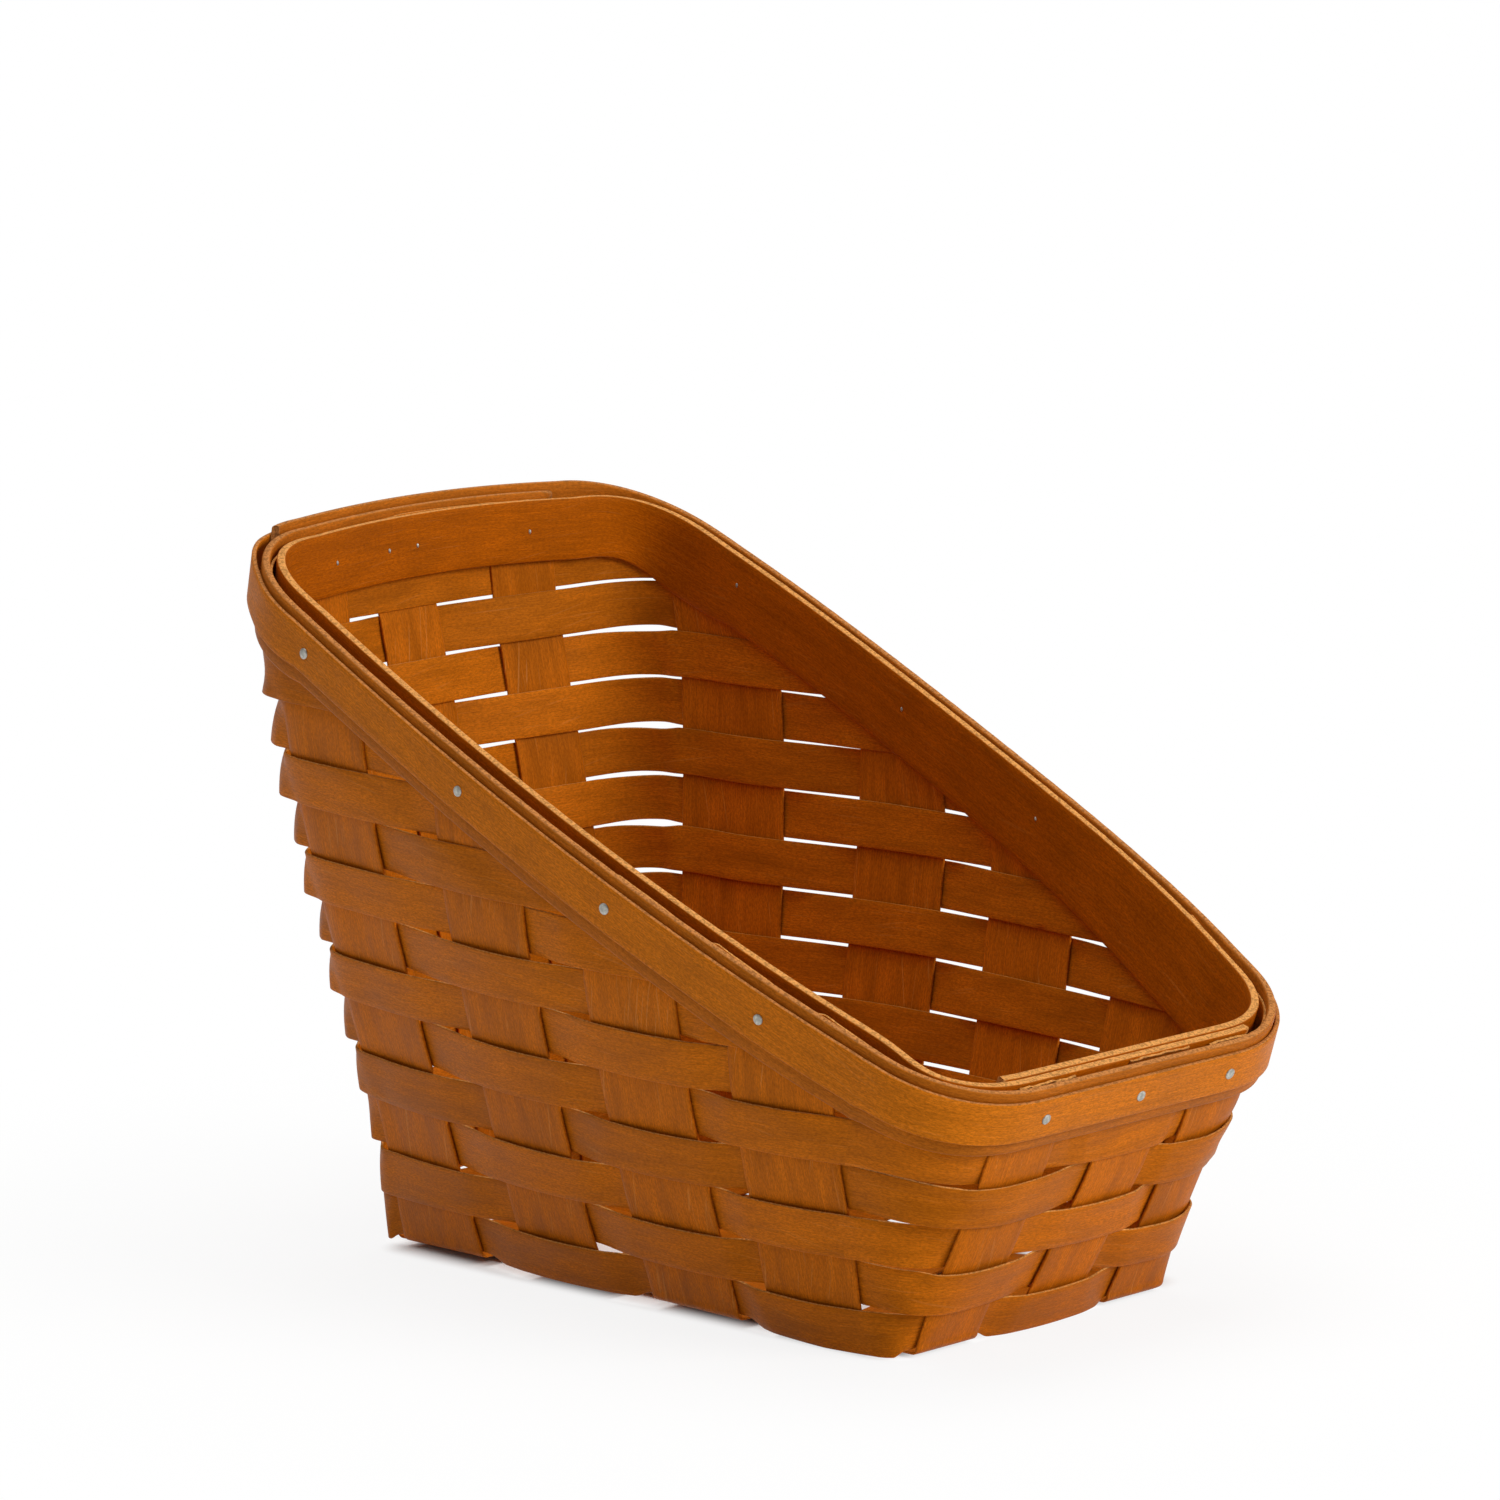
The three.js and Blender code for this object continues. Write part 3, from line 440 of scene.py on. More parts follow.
def row_level(k, u):
    """Height of boundary k at places u: the sides' level turns into the ends' through the corners, and the
    rows of the right wall lie a little higher towards the front."""
    u = np.asarray(u) % 8
    piece = np.floor(u).astype(int)
    t = u - piece
    turned = np.choose(piece % 4, [0 * t, smooth(t), 1 + 0 * t, smooth(1 - t)])
    end = np.where(piece < 4, BACK_LEVELS[k], FRONT_LEVELS[k])
    lifted_side = np.where(piece == 4, smooth((t - RIGHT_LIFT_START) / RIGHT_LIFT_RUN), 0)
    share = np.where(piece == 5, smooth(1 - t), lifted_side)
    return mix(SIDE_LEVELS[k], end, turned) + (RIGHT_LIFT * share if k else 0)


def stake(wall_index, i):
    across = wall_index % 2 == 0
    centre, lean_start, lean_end = (CROSS if across else LONG)[i]
    half = CROSS_HALF_WIDTHS[i] if across else LONG_HALF_WIDTH
    return SimpleNamespace(
        wall=wall_index, centre=centre, lean=lean_start if wall_index in (0, 3) else lean_end,
        half=half,
        side=1 if (i % 2 == 1 if wall_index == 1 else i % 2 == 0) else -1)


STAKES = [stake(w, i) for w in range(4) for i in range(4 if w % 2 == 0 else 3)]


def wave_of(upright, u, z):
    """Rows counted up a wall at height z, as a wave: 1 in the middle of odd rows and -1 in even ones."""
    level = {1: BACK_LEVELS, 3: FRONT_LEVELS}.get(upright.wall, SIDE_LEVELS)
    return np.cos(pi * (np.interp(z, level, np.arange(ROWS + 1)) - 0.5))


def wander(t, seed, reach, waves=(1.3, 3.1, 7.7)):
    """A slow uneven line: three sines of t with phases of their own, within about reach."""
    phases = np.random.default_rng(seed).uniform(0, 2 * pi, len(waves))
    return reach * sum(np.sin(2 * pi * w * t + p) for w, p in zip(waves, phases)) / len(waves)


def ragged(count, seed, reach):
    """Uneven steps for torn or sawn ends."""
    return np.random.default_rng(seed).uniform(-reach, reach, count)


def run(points, closed):
    """Steps along the first way of a grid of points."""
    if closed:
        return np.roll(points, -1, 0) - np.roll(points, 1, 0)
    return np.gradient(points, axis=0)


def face_of(sheet, closed=False):
    """Outward normals of a wall's sheet, whose columns go up: up cross along."""
    return unit(np.cross(np.gradient(sheet, axis=1), run(sheet, closed)))


def level_out(sheet, closed=False):
    """Outward level directions of a wall's sheet, square to its run."""
    along = unit(run(sheet, closed) * np.array([1, 1, 0]))
    return np.stack([-along[..., 1], along[..., 0], 0 * along[..., 0]], -1)


def through(knots, values, at, period):
    """A smooth closed line through values at knots, with no overshoot: cubic pieces whose slopes are harmonic
    means of the steps on either side, and level where those disagree."""
    order = np.argsort(knots)
    k, v = knots[order], values[order]
    k = np.concatenate([k[-2:] - period, k, k[:2] + period])
    v = np.concatenate([v[-2:], v, v[:2]])
    gap = np.diff(k)
    slope = np.diff(v) / gap
    both = slope[:-1] * slope[1:]
    mean = np.where(both > 0, 2 * both / np.where(both > 0, slope[:-1] + slope[1:], 1), 0)
    mean = np.concatenate([[0], mean, [0]])
    i = np.clip(np.searchsorted(k, at) - 1, 0, len(k) - 2)
    h = gap[i]
    t = (at - k[i]) / h
    return (v[i] * (1 + 2 * t) * (1 - t) ** 2 + mean[i] * h * t * (1 - t) ** 2
            + v[i + 1] * t ** 2 * (3 - 2 * t) + mean[i + 1] * h * t ** 2 * (t - 1))


def across_of(half_width, edge, count):
    """Places across a strip from -1 to 1, with two more inside each rounded edge."""
    inset = edge / half_width
    side = EDGE_INSETS * inset
    return np.concatenate([-1 + side, np.linspace(-1 + inset, 1 - inset, count), 1 - side[::-1]])


def relief_of(across, half_width, thickness, edge):
    """Share of the half thickness left at each place across: a rounded edge is a quarter circle."""
    past = clip01((np.abs(across) - 1) * half_width / edge + 1)
    return 1 - (1 - np.sqrt(np.maximum(1 - past ** 2, LEAST_RELIEF))) * np.minimum(2 * edge / thickness, 1)


def add_mesh(name, points, faces, uv, edge, tone):
    """A mesh object from whole arrays: points, faces of four, a map per face corner and two values per
    point. If the volume comes out negative, the faces look inwards and are all turned."""
    a, b, c, d = (points[faces[:, k]] for k in range(4))
    volume = np.einsum("ij,ij->i", a, np.cross(b, c)).sum() + np.einsum("ij,ij->i", a, np.cross(c, d)).sum()
    if volume < 0:
        faces, uv = faces[:, ::-1], uv[:, ::-1]
    mesh = bpy.data.meshes.new(name)
    mesh.vertices.add(len(points))
    mesh.vertices.foreach_set("co", points.astype(np.float32).ravel())
    mesh.loops.add(faces.size)
    mesh.loops.foreach_set("vertex_index", faces.astype(np.int32).ravel())
    mesh.polygons.add(len(faces))
    mesh.polygons.foreach_set("loop_start", np.arange(0, faces.size, 4, dtype=np.int32))
    mesh.update(calc_edges=True)
    mesh.uv_layers.new(name="Strip").data.foreach_set("uv", uv.astype(np.float32).ravel())
    for key, values in (("edge", edge), ("tone", np.full(len(points), tone))):
        attribute = mesh.attributes.new(key, "FLOAT", "POINT")
        attribute.data.foreach_set("value", values.astype(np.float32).ravel())
    mesh.polygons.foreach_set("use_smooth", np.ones(len(faces), bool))
    mesh.validate()
    obj = bpy.data.objects.new(name, mesh)
    bpy.context.collection.objects.link(obj)
    return obj


def strip(name, sheet, across, half_width, thickness, edge, closed=False, seed=0):
    """A solid strip from its middle sheet of points: the sheet moved half a thickness to either side along
    its normals, less the relief at the edges, joined by its edges and closed at its ends."""
    normal = unit(np.cross(run(sheet, closed), np.gradient(sheet, axis=1)))
    relief = relief_of(across, half_width, thickness, edge)[None, :, None] * thickness / 2
    ring = np.concatenate([sheet + normal * relief, (sheet - normal * relief)[:, ::-1]], 1)
    n, m = ring.shape[:2]
    i = np.arange(n if closed else n - 1)[:, None]
    j = np.arange(m)[None, :]
    ahead, beside = (i + 1) % n, (j + 1) % m
    corners = (i * m + j, i * m + beside, ahead * m + beside, ahead * m + j)
    faces = np.stack(np.broadcast_arrays(*corners), -1).reshape(-1, 4)
    middle = sheet[:, len(across) // 2]
    steps = np.linalg.norm(np.diff(middle, axis=0, append=middle[:1]), axis=1)
    along = np.concatenate([[0], np.cumsum(steps)])
    place = np.concatenate([across, across[::-1]]) * half_width
    shift = np.random.default_rng(seed).uniform(0, 3, 2)
    corner_u = np.stack(np.broadcast_arrays(along[i], along[i], along[i + 1], along[i + 1]), -1)
    corner_u = np.broadcast_to(corner_u, (len(i), m, 4))
    corner_v = np.stack([place[j], place[beside], place[beside], place[j]], -1)
    corner_v = np.broadcast_to(corner_v, (len(i), m, 4))
    uv = np.stack([corner_u + shift[0], corner_v + shift[1]], -1).reshape(-1, 4, 2)
    if not closed:
        q = np.arange(len(across) - 1)
        caps = [np.stack([q, q + 1, m - 2 - q, m - 1 - q], -1)]
        caps.append((n - 1) * m + caps[0][:, ::-1])
        faces = np.concatenate([faces] + caps)
        cap_uv = np.stack([place[caps[0]] * END_GRAIN_SCALE, place[caps[0]]], -1) + shift
        uv = np.concatenate([uv, cap_uv, cap_uv[:, ::-1]])
    # The lower edge takes less of the pale edge colour than the upper edge and the cut ends.
    flags = clip01((np.abs(across) - 1) * half_width / edge + 1) * np.where(across < 0, LOWER_EDGE_PALENESS, 1.0)
    flags = np.broadcast_to(np.concatenate([flags, flags[::-1]]), (n, m)).copy()
    if not closed:
        flags[[0, -1]] = 1
    tone = np.random.default_rng(seed + SEEDS.tone).uniform(-1, 1)
    return add_mesh(name, ring.reshape(-1, 3), faces, uv, flags, tone)


def sizes():
    return bpy.context.scene.basket_sizes


def colours():
    return bpy.context.scene.basket_colours


def finish_piece(obj, material, slot, *nodes):
    """Gives a piece its material and its body, and hides the nodes that it stands for. The slot is not used.
    """
    obj.data.materials.append(material)
    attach(obj, "root")
    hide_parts(*nodes)


def weaver_offsets(row, u, height):
    """How far out a row lies at places u, and how free its corners are there: out over an upright that it
    passes outside, in behind one that it passes inside, most over the upright's middle."""
    s = sizes()
    ring = wall(CYCLE, height, SPLINT_POWER)
    steps = np.linalg.norm(np.diff(ring, axis=0, append=ring[:1]), axis=1)
    along = np.concatenate([[0], np.cumsum(steps)])
    total = along[-1]
    at = np.interp(u % 8, np.append(CYCLE, 8.0), along)
    rng = np.random.default_rng(row)
    knots, values, free = [], [], np.ones_like(at)
    for upright in STAKES:
        sign = -upright.side if row % 2 == 1 else upright.side
        centre = upright.centre + upright.lean * height
        places = centre + np.array((-1, 0, 1)) * (upright.half + s.edge_gap)
        places = place_on(upright.wall, places, height, SPLINT_POWER) % 8
        edges = list(np.interp(places, np.append(CYCLE, 8.0), along))
        bulge = s.weave_bulge * rng.uniform(*BULGE_SPREAD)
        knots += edges
        values += [sign * s.weave_offset, sign * (s.weave_offset + bulge), sign * s.weave_offset]
        middle = (at - edges[1] + total / 2) % total - total / 2
        reach = np.abs((edges[2] - edges[0] + total / 2) % total - total / 2) / 2
        free = np.minimum(free, smooth((np.abs(middle) - reach) / FREE_TURN))
    return through(np.array(knots), np.array(values), at, total), free


def weaver_sheet(row, across):
    """Middle sheet of a row: heights from its lower to its upper edge on the wall, moved out along the wall's
    normals by the weave's offsets."""
    s = sizes()
    height = SIDE_LEVELS[row] - ROW_PITCH / 2
    closed = row <= CLOSED_ROWS
    u = CYCLE
    if not closed:
        lowest_top = SIDE_LEVELS[row - 1] + SHORTEST_END - RIM_MIDDLE
        first = place_on(0, (lowest_top + recess(LEFT_MIDDLE)) / RIM_SLOPE, height, SPLINT_POWER)
        last = place_on(2, (lowest_top + recess(RIGHT_MIDDLE)) / RIM_SLOPE, height, SPLINT_POWER)
        long = np.concatenate([CYCLE - 8, CYCLE])
        inner = long[(long > first + WEAVER_END_ROOM) & (long < last - WEAVER_END_ROOM)]
        u = np.concatenate([[first], inner, [last]])
    offset, free = weaver_offsets(row, u, height)
    gap = (ROW_PITCH - s.weaver_width) / 2
    inside = 1.5 * s.splint + LATTICE_GAP + s.splint / 2 + FOOT_GAP
    foot = mix(s.foot, inside, smooth(-offset / s.weave_offset)) if row == 1 else 0
    around_share = u / 8
    bottom = np.maximum(row_level(row - 1, u) + gap + wander(around_share, row, s.row_wander), foot)
    rounded = (across + 1) / 2
    low_power = np.where(u % 8 < 4, *WEAVER_LOW_POWERS)[:, None]
    power = mix(SPLINT_POWER, mix(low_power, WEAVER_HIGH_POWER, rounded[None, :]), free[:, None])
    low_y = around(u, bottom, SPLINT_POWER)[..., 1]
    top = row_level(row, u) - gap + wander(around_share, row + SEEDS.upper_edge, s.row_wander)
    cut = rim_height(low_y) - recess(u) + wander(around_share * TOP_WAVES, row + SEEDS.cut_top, s.top_ragged)
    top = np.minimum(top, cut)
    z = mix(bottom[:, None], top[:, None], rounded[None, :])
    sheet = rim_wall(u[:, None], z, power)
    tilt = s.upper_lean * across[None, :] * np.abs(offset[:, None]) / s.weave_offset
    held = np.clip(offset[:, None], -s.held_offset, s.held_offset)
    reach = mix(held, offset[:, None] + tilt, loose_share(sheet))
    return settle(sheet + face_of(sheet, closed) * reach[..., None]), closed


class BASKET_OT_weavers(bpy.types.Operator):
    """Weave the rows of splint round the walls"""
    bl_idname = "basket.weavers"
    bl_label = "Weavers"

    def execute(self, context):
        s = sizes()
        across = across_of(s.weaver_width / 2, s.edge_round, ACROSS.weaver)
        material = wood("Weaver splint", colours().weaver, WEAVER_GRAIN, colours().splint_edge)
        for row in range(1, ROWS + 1):
            sheet, closed = weaver_sheet(row, across)
            piece = strip(f"woven_row_{row:02d}", sheet, across, s.weaver_width / 2, s.splint, s.edge_round,
                          closed, seed=row)
            finish_piece(piece, material, "weaver", f"weaver_row_{row:02d}")
        return {"FINISHED"}


def upright_wall(upright, level, across, seed):
    """Middle sheet of an upright on its wall, from the bend up to its cut top. The rows that cross it wave it
    by tanh of their own wave, so that it turns quickly between them."""
    s = sizes()
    start = level + BEND_RADIUS
    tops = np.full(len(across), start)
    for _ in range(RIM_SETTLING):
        place = upright.centre + upright.lean * tops + across * upright.half
        u = place_on(upright.wall, place, tops, SPLINT_POWER)
        tops = rim_height(around(u, tops, SPLINT_POWER)[..., 1]) - recess(u)
    tops = tops + wander(across / 2, seed, s.top_ragged, CUT_WAVES)
    tops = tops + ragged(len(across), seed, s.top_ragged / 2)
    share = np.linspace(0, 1, int(np.mean(tops - start) / s.upright_step) + 8)[:, None]
    z = mix(start, tops[None, :], share)
    place = upright.centre + upright.lean * z + across[None, :] * upright.half
    u = place_on(upright.wall, place, z, SPLINT_POWER)
    sheet = rim_wall(u, z, SPLINT_POWER)
    out = unit(np.cross(np.gradient(sheet, axis=0), np.gradient(sheet, axis=1)))
    out = out * np.sign((out * OUTWARD[upright.wall]).sum(-1, keepdims=True))
    reach = mix(s.held_wave, s.upright_wave, loose_share(sheet))
    wave = upright.side * reach * np.tanh(WAVE_SQUARENESS * wave_of(upright, u, z))
    wave = wave * smooth((z - start) / ROW_PITCH)
    return sheet + out * wave[..., None]


def splint_sheet(start, end, crossings, across, seed):
    """Middle sheet of one splint from rim to rim: down a wall, round a bend that is a quarter circle, across
    the base over and under, and up again."""
    s = sizes()
    low, high = s.splint / 2, s.splint * 1.5 + LATTICE_GAP
    heights = [high if c[2] else low for c in crossings]
    walls = []
    for k, (upright, level) in enumerate(((start, heights[0]), (end, heights[-1]))):
        sheet = upright_wall(upright, level, across, seed * 2 + k)
        angle = (np.linspace(0, 1, BEND_STEPS + 1)[:-1] * pi / 2)[:, None, None]
        bend = sheet[:1] * LEVEL_PART - OUTWARD[upright.wall] * BEND_RADIUS * (1 - np.sin(angle))
        bend[..., 2] = (level + BEND_RADIUS * (1 - np.cos(angle)))[..., 0]
        walls.append(np.concatenate([bend, sheet]))
    first, last = walls[0][0], walls[1][0]
    axis = 0 if start.wall == 0 else 1
    share = np.linspace(0, 1, BASE_STEPS)[1:-1, None]
    flat = mix(first[None], last[None], share[..., None])
    knots = np.array([c[0] + d * c[1] for c in crossings for d in (-1, 1)])
    tall = np.repeat(heights, 2)
    flat[..., 2] = lifted(flat[..., axis], knots, tall)
    return np.concatenate([walls[0][::-1], flat, walls[1]])


def lifted(at, knots, heights):
    """Height of a splint over the base: level at each crossing, and an even rise or fall between them."""
    order = np.argsort(knots)
    k, h = knots[order], heights[order]
    i = np.clip(np.searchsorted(k, at) - 1, 0, len(k) - 2)
    return mix(h[i], h[i + 1], smooth((at - k[i]) / (k[i + 1] - k[i])))


def lay_splint(name, node, material, ends, crossings, lines, seed, top_seed):
    """One upright splint, settled and finished: `ends` are its two stakes, `lines` its points across."""
    s = sizes()
    half = ends[0].half
    across = across_of(half, s.edge_round, lines)
    sheet = settle(splint_sheet(*ends, crossings, across, top_seed))
    piece = strip(name, sheet, across, half, s.splint, s.edge_round, seed=seed)
    finish_piece(piece, material, "upright_splint", node)


class BASKET_OT_uprights(bpy.types.Operator):
    """Lay the splints that cross the base and stand up on the walls"""
    bl_idname = "basket.uprights"
    bl_label = "Uprights"

    def execute(self, context):
        material = wood("Upright splint", colours().upright, UPRIGHT_GRAIN, colours().splint_edge)
        for i in range(len(CROSS)):
            crossings = [(centre, LONG_HALF_WIDTH + LATTICE_GAP, (i + j) % 2 == 0)
                         for j, (centre, _, _) in enumerate(LONG)]
            lay_splint(f"crosswise_upright_{i + 1}", f"crosswise_splint_{i + 1}", material,
                       (stake(0, i), stake(2, i)), crossings, ACROSS.cross, SEEDS.cross + i,
                       SEEDS.cross_tops + i)
        for j, side in enumerate(LONG_NAMES):
            crossings = [(centre, CROSS_HALF_WIDTHS[i] + LATTICE_GAP, (i + j) % 2 == 1)
                         for i, (centre, _, _) in enumerate(CROSS)]
            lay_splint(f"lengthwise_upright_{side}", f"lengthwise_splint_{side}", material,
                       (stake(3, j), stake(1, j)), crossings[::-1], ACROSS.long, SEEDS.long + j,
                       SEEDS.long_tops + j)
        return {"FINISHED"}


def rim_places(first, last, across, torn, slant=0.0):
    """Places of a band's points: even steps round the rim between two torn ends, the first one slanted."""
    long = np.concatenate([CYCLE, CYCLE + 8, CYCLE + 16])
    u = np.concatenate([[first], long[(long > first + RIM_END_ROOM) & (long < last - RIM_END_ROOM)], [last]])
    u = np.repeat(u[:, None], len(across), 1)
    u[0] += ragged(len(across), SEEDS.torn_start, torn[0]) + slant * (across + 1) / 2
    u[-1] += ragged(len(across), SEEDS.torn_end, torn[1])
    return np.sort(u, 0)


def rim_face(u, length, power=RIM_TOP_POWER):
    """The wall under the rim as a ruled face: from where it meets the rim's plane down to the depth of the
    inner band, read at a slope length below its top."""
    width = sizes().inner_width
    z = np.full(u.shape, RIM_MIDDLE)
    for _ in range(RIM_SETTLING):
        z = rim_height(around(u, z, power)[..., 1])
    high = wall(u, z, power)
    turn = level_out(high)[..., 1]
    side_flare = (side_reach(z) - side_reach(z - width)) / width
    side = width * np.hypot(1, RIM_SLOPE) / np.hypot(1, side_flare)
    end = width / np.hypot(1, np.where(turn > 0, BACK_FLARE, FRONT_FLARE))
    low = wall(u, z - mix(side, end, turn ** 2), power + RIM_DEEP_POWER - RIM_TOP_POWER)
    return mix(high, low, (length / width)[..., None]), turn


def band_sheet(u, across, drop, width, offset, power=RIM_TOP_POWER):
    """Middle sheet of a band: the rim's face moved out by an offset, higher at the back and lower at the
    front the further out it lies."""
    length = np.broadcast_to(drop + width * (1 - across[None, :]) / 2, u.shape)
    turn = rim_face(u, length, power)[1]
    sheet = rim_face(u, length - RIM_SLOPE * turn * offset, power)[0]
    return sheet + level_out(sheet) * offset[..., None]


def between(v, start, end):
    """A share that rises from 0 to 1 at the start and falls back at the end, each a place and a run."""
    return smooth((v - start[0]) / start[1]) * (1 - smooth((v - end[0]) / end[1]))


def lap_share(u):
    """Where the outer band runs over its own other end: 1 along the back, easing off over the next corner."""
    return 1 - smooth(u - LAP_FADE)


def trim_share(u):
    """The same for the trim, which climbs over that lap at the corner before it."""
    v = u % 8
    return smooth((v - 1 - OUTER_LAP_SHARE) / TRIM_CLIMB + 1) * lap_share(v)


def back_share(u):
    """How much narrower the inner band is: most along the back, easing off in its corners."""
    return between(u % 8, NARROW_START, NARROW_END)


def slack(u):
    """How far the inner band stands off the weave."""
    return SLACK * between((u + 4) % 8 - 4, SLACK_START, SLACK_END)


def rim_place(side, place):
    """Place u on the rim of a point given along one side: y on the long sides and x at the ends."""
    height = rim_height({"back": BASE_BACK_REACH, "front": -BASE_FRONT_REACH}.get(side, place))
    return float(place_on(SIDES.index(side), np.array(place), height, RIM_TOP_POWER))


def bend_band(name, node, kind, across, sheet, size, seed):
    """One band of the rim, settled and finished: `size` is its width, its thickness and its edges' rounding,
    and `kind` is its material's name, stain, edge colour and slot."""
    width, thickness, rounding = size
    label, stain, edge_colour, slot = kind
    piece = strip(name, settle(sheet), across, width / 2, thickness, rounding, seed=seed)
    finish_piece(piece, wood(label, stain, BAND_GRAIN, edge_colour), slot, node)


class BASKET_OT_rim(bpy.types.Operator):
    """Bend the two bands and the trim strip round the rim"""
    bl_idname = "basket.rim"
    bl_label = "Rim"

    def execute(self, context):
        s, stains = sizes(), colours()
        inner = -(s.rim_room + s.inner_thickness / 2)
        outer = s.rim_room + s.outer_thickness / 2
        trim = outer + s.outer_thickness / 2 + LAYER_GAP + s.trim_thickness / 2
        lap = s.outer_thickness + LAYER_GAP

        across = across_of(s.inner_width / 2, s.inner_round, ACROSS.inner)
        first, last = rim_place("front", INNER_LAP[1]), rim_place("front", INNER_LAP[0]) + 8
        u = rim_places(first, last, across, INNER_TORN)
        shift = (s.inner_thickness + LAYER_GAP) * smooth((u - INNER_LAP_START) / INNER_LAP_TURN)
        width = s.inner_width - s.inner_narrowing * back_share(u)
        sheet = band_sheet(u, across, 0, width, inner - shift - slack(u), INNER_POWER)
        bend_band("inner_rim_band", "rim_inner_band", ("Inner band", stains.inner, stains.edge, "inner_band"),
                  across, sheet, (s.inner_width, s.inner_thickness, s.inner_round), SEEDS.inner)

        across = across_of(s.outer_width / 2, s.outer_round, ACROSS.outer)
        first, last = 1 + OUTER_LAP_SHARE, rim_place("back", OUTER_LAP_END) + 8
        u = rim_places(first, last, across, OUTER_TORN, OUTER_SLANT)
        raised = lap_share(u)
        sheet = band_sheet(u, across, -OUTER_LAP_RISE * raised, s.outer_width, outer + lap * raised)
        bend_band("outer_rim_band", "rim_outer_band",
                  ("Outer band", stains.outer, stains.outer_edge, "outer_band"),
                  across, sheet, (s.outer_width, s.outer_thickness, s.outer_round), SEEDS.outer)

        across = across_of(s.trim_width / 2, s.trim_round, ACROSS.trim)
        first, last = rim_place("back", TRIM_JOINT + s.butt_gap), rim_place("back", TRIM_JOINT) + 8
        u = rim_places(first, last, across, TRIM_TORN)
        sheet = band_sheet(u, across, TRIM_DROP, s.trim_width, trim + lap * trim_share(u))
        bend_band("rim_trim", "rim_trim_strip", ("Trim strip", stains.trim, stains.outer_edge, "trim_strip"),
                  across, sheet, (s.trim_width, s.trim_thickness, s.trim_round), SEEDS.trim)
        return {"FINISHED"}


def rim_patch(side, place):
    """A small grid of places round the rim about a tack, five along and three across."""
    across = np.linspace(-PATCH_REACH, PATCH_REACH, PATCH_COLUMNS)[:, None]
    return rim_place(side, place) + across + np.zeros((PATCH_COLUMNS, len(HEAD_LEVELS)))


def tack_seat(side, place):
    """Where a tack's head lies on the trim, and the way that the trim looks there."""
    s = sizes()
    u = rim_patch(side, place)
    out = s.rim_room + s.outer_thickness + LAYER_GAP + s.trim_thickness
    out = out + (s.outer_thickness + LAYER_GAP) * trim_share(u)
    sheet = settle(band_sheet(u, HEAD_LEVELS, TRIM_DROP, s.trim_width, out))
    return sheet[PATCH_MIDDLE], face_of(sheet)[PATCH_MIDDLE]


def point_seat(side, place):
    """Where a tack's point comes out of the inner band, and the way that the band looks outwards there."""
    s = sizes()
    u = rim_patch(side, place)
    width = s.inner_width - s.inner_narrowing * back_share(u)
    level = 1 - 2 * (TRIM_DROP + s.trim_width / 2) / width[PATCH_MIDDLE]
    inside = -(s.rim_room + s.inner_thickness) - slack(u)
    sheet = settle(band_sheet(u, level + POINT_LEVELS, 0, width, inside, INNER_POWER))
    return sheet[PATCH_MIDDLE], face_of(sheet)[PATCH_MIDDLE]


def lathe(profile, sides):
    """A profile of radius and height turned round +Z, as rings closed by flat faces across the first and the
    last: x = r cos(a), y = r sin(a)."""
    profile = np.asarray(profile)
    angle = np.arange(sides) * 2 * pi / sides
    radius, height = profile[:, :1], profile[:, 1:]
    points = np.stack([radius * np.cos(angle), radius * np.sin(angle), height + 0 * angle], -1)
    n = len(profile)
    low, j = np.arange(n - 1)[:, None] * sides, np.arange(sides)[None, :]
    beside = (j + 1) % sides
    corners = (low + j, low + beside, low + sides + beside, low + sides + j)
    faces = np.stack(np.broadcast_arrays(*corners), -1)
    q = np.arange(sides // 2 - 1)
    cap = np.stack([q, q + 1, sides - 2 - q, sides - 1 - q], -1)
    return points.reshape(-1, 3), np.concatenate([faces.reshape(-1, 4), cap[:, ::-1], cap + (n - 1) * sides])


def head_profile(radius, height):
    """Section of a tack's head: its foot sunk in the trim, an upright edge, and a crown that is part of an
    ellipse, x = r cos(a), z = edge + (h - edge) sin(a)."""
    edge = HEAD_EDGE * height
    crown = [(radius * cos(a), edge + (height - edge) * sin(a)) for a in np.linspace(*CROWN_ANGLES, 4)]
    return [(HEAD_HEART, -HEAD_SINK), (radius * HEAD_FOOT, -HEAD_SINK), (radius, -height * HEAD_LOW),
            (radius, edge), *crown, (radius * HEAD_TOP, height)]


def point_profile(radius):
    """Section of a clinched point: a low disc with a chamfered upper edge."""
    return [(POINT_HEART, -POINT_SINK), (radius, -POINT_SINK), (radius, POINT_EDGE),
            (radius * POINT_CROWN, POINT_RISE), (POINT_HEART, POINT_TOP)]


def planted(points, way, place):
    """Points turned so that +Z looks along a way, and moved to a place."""
    turn = Vector(way).normalized().to_track_quat("Z", "Y").to_matrix()
    return points @ np.array(turn).T + place


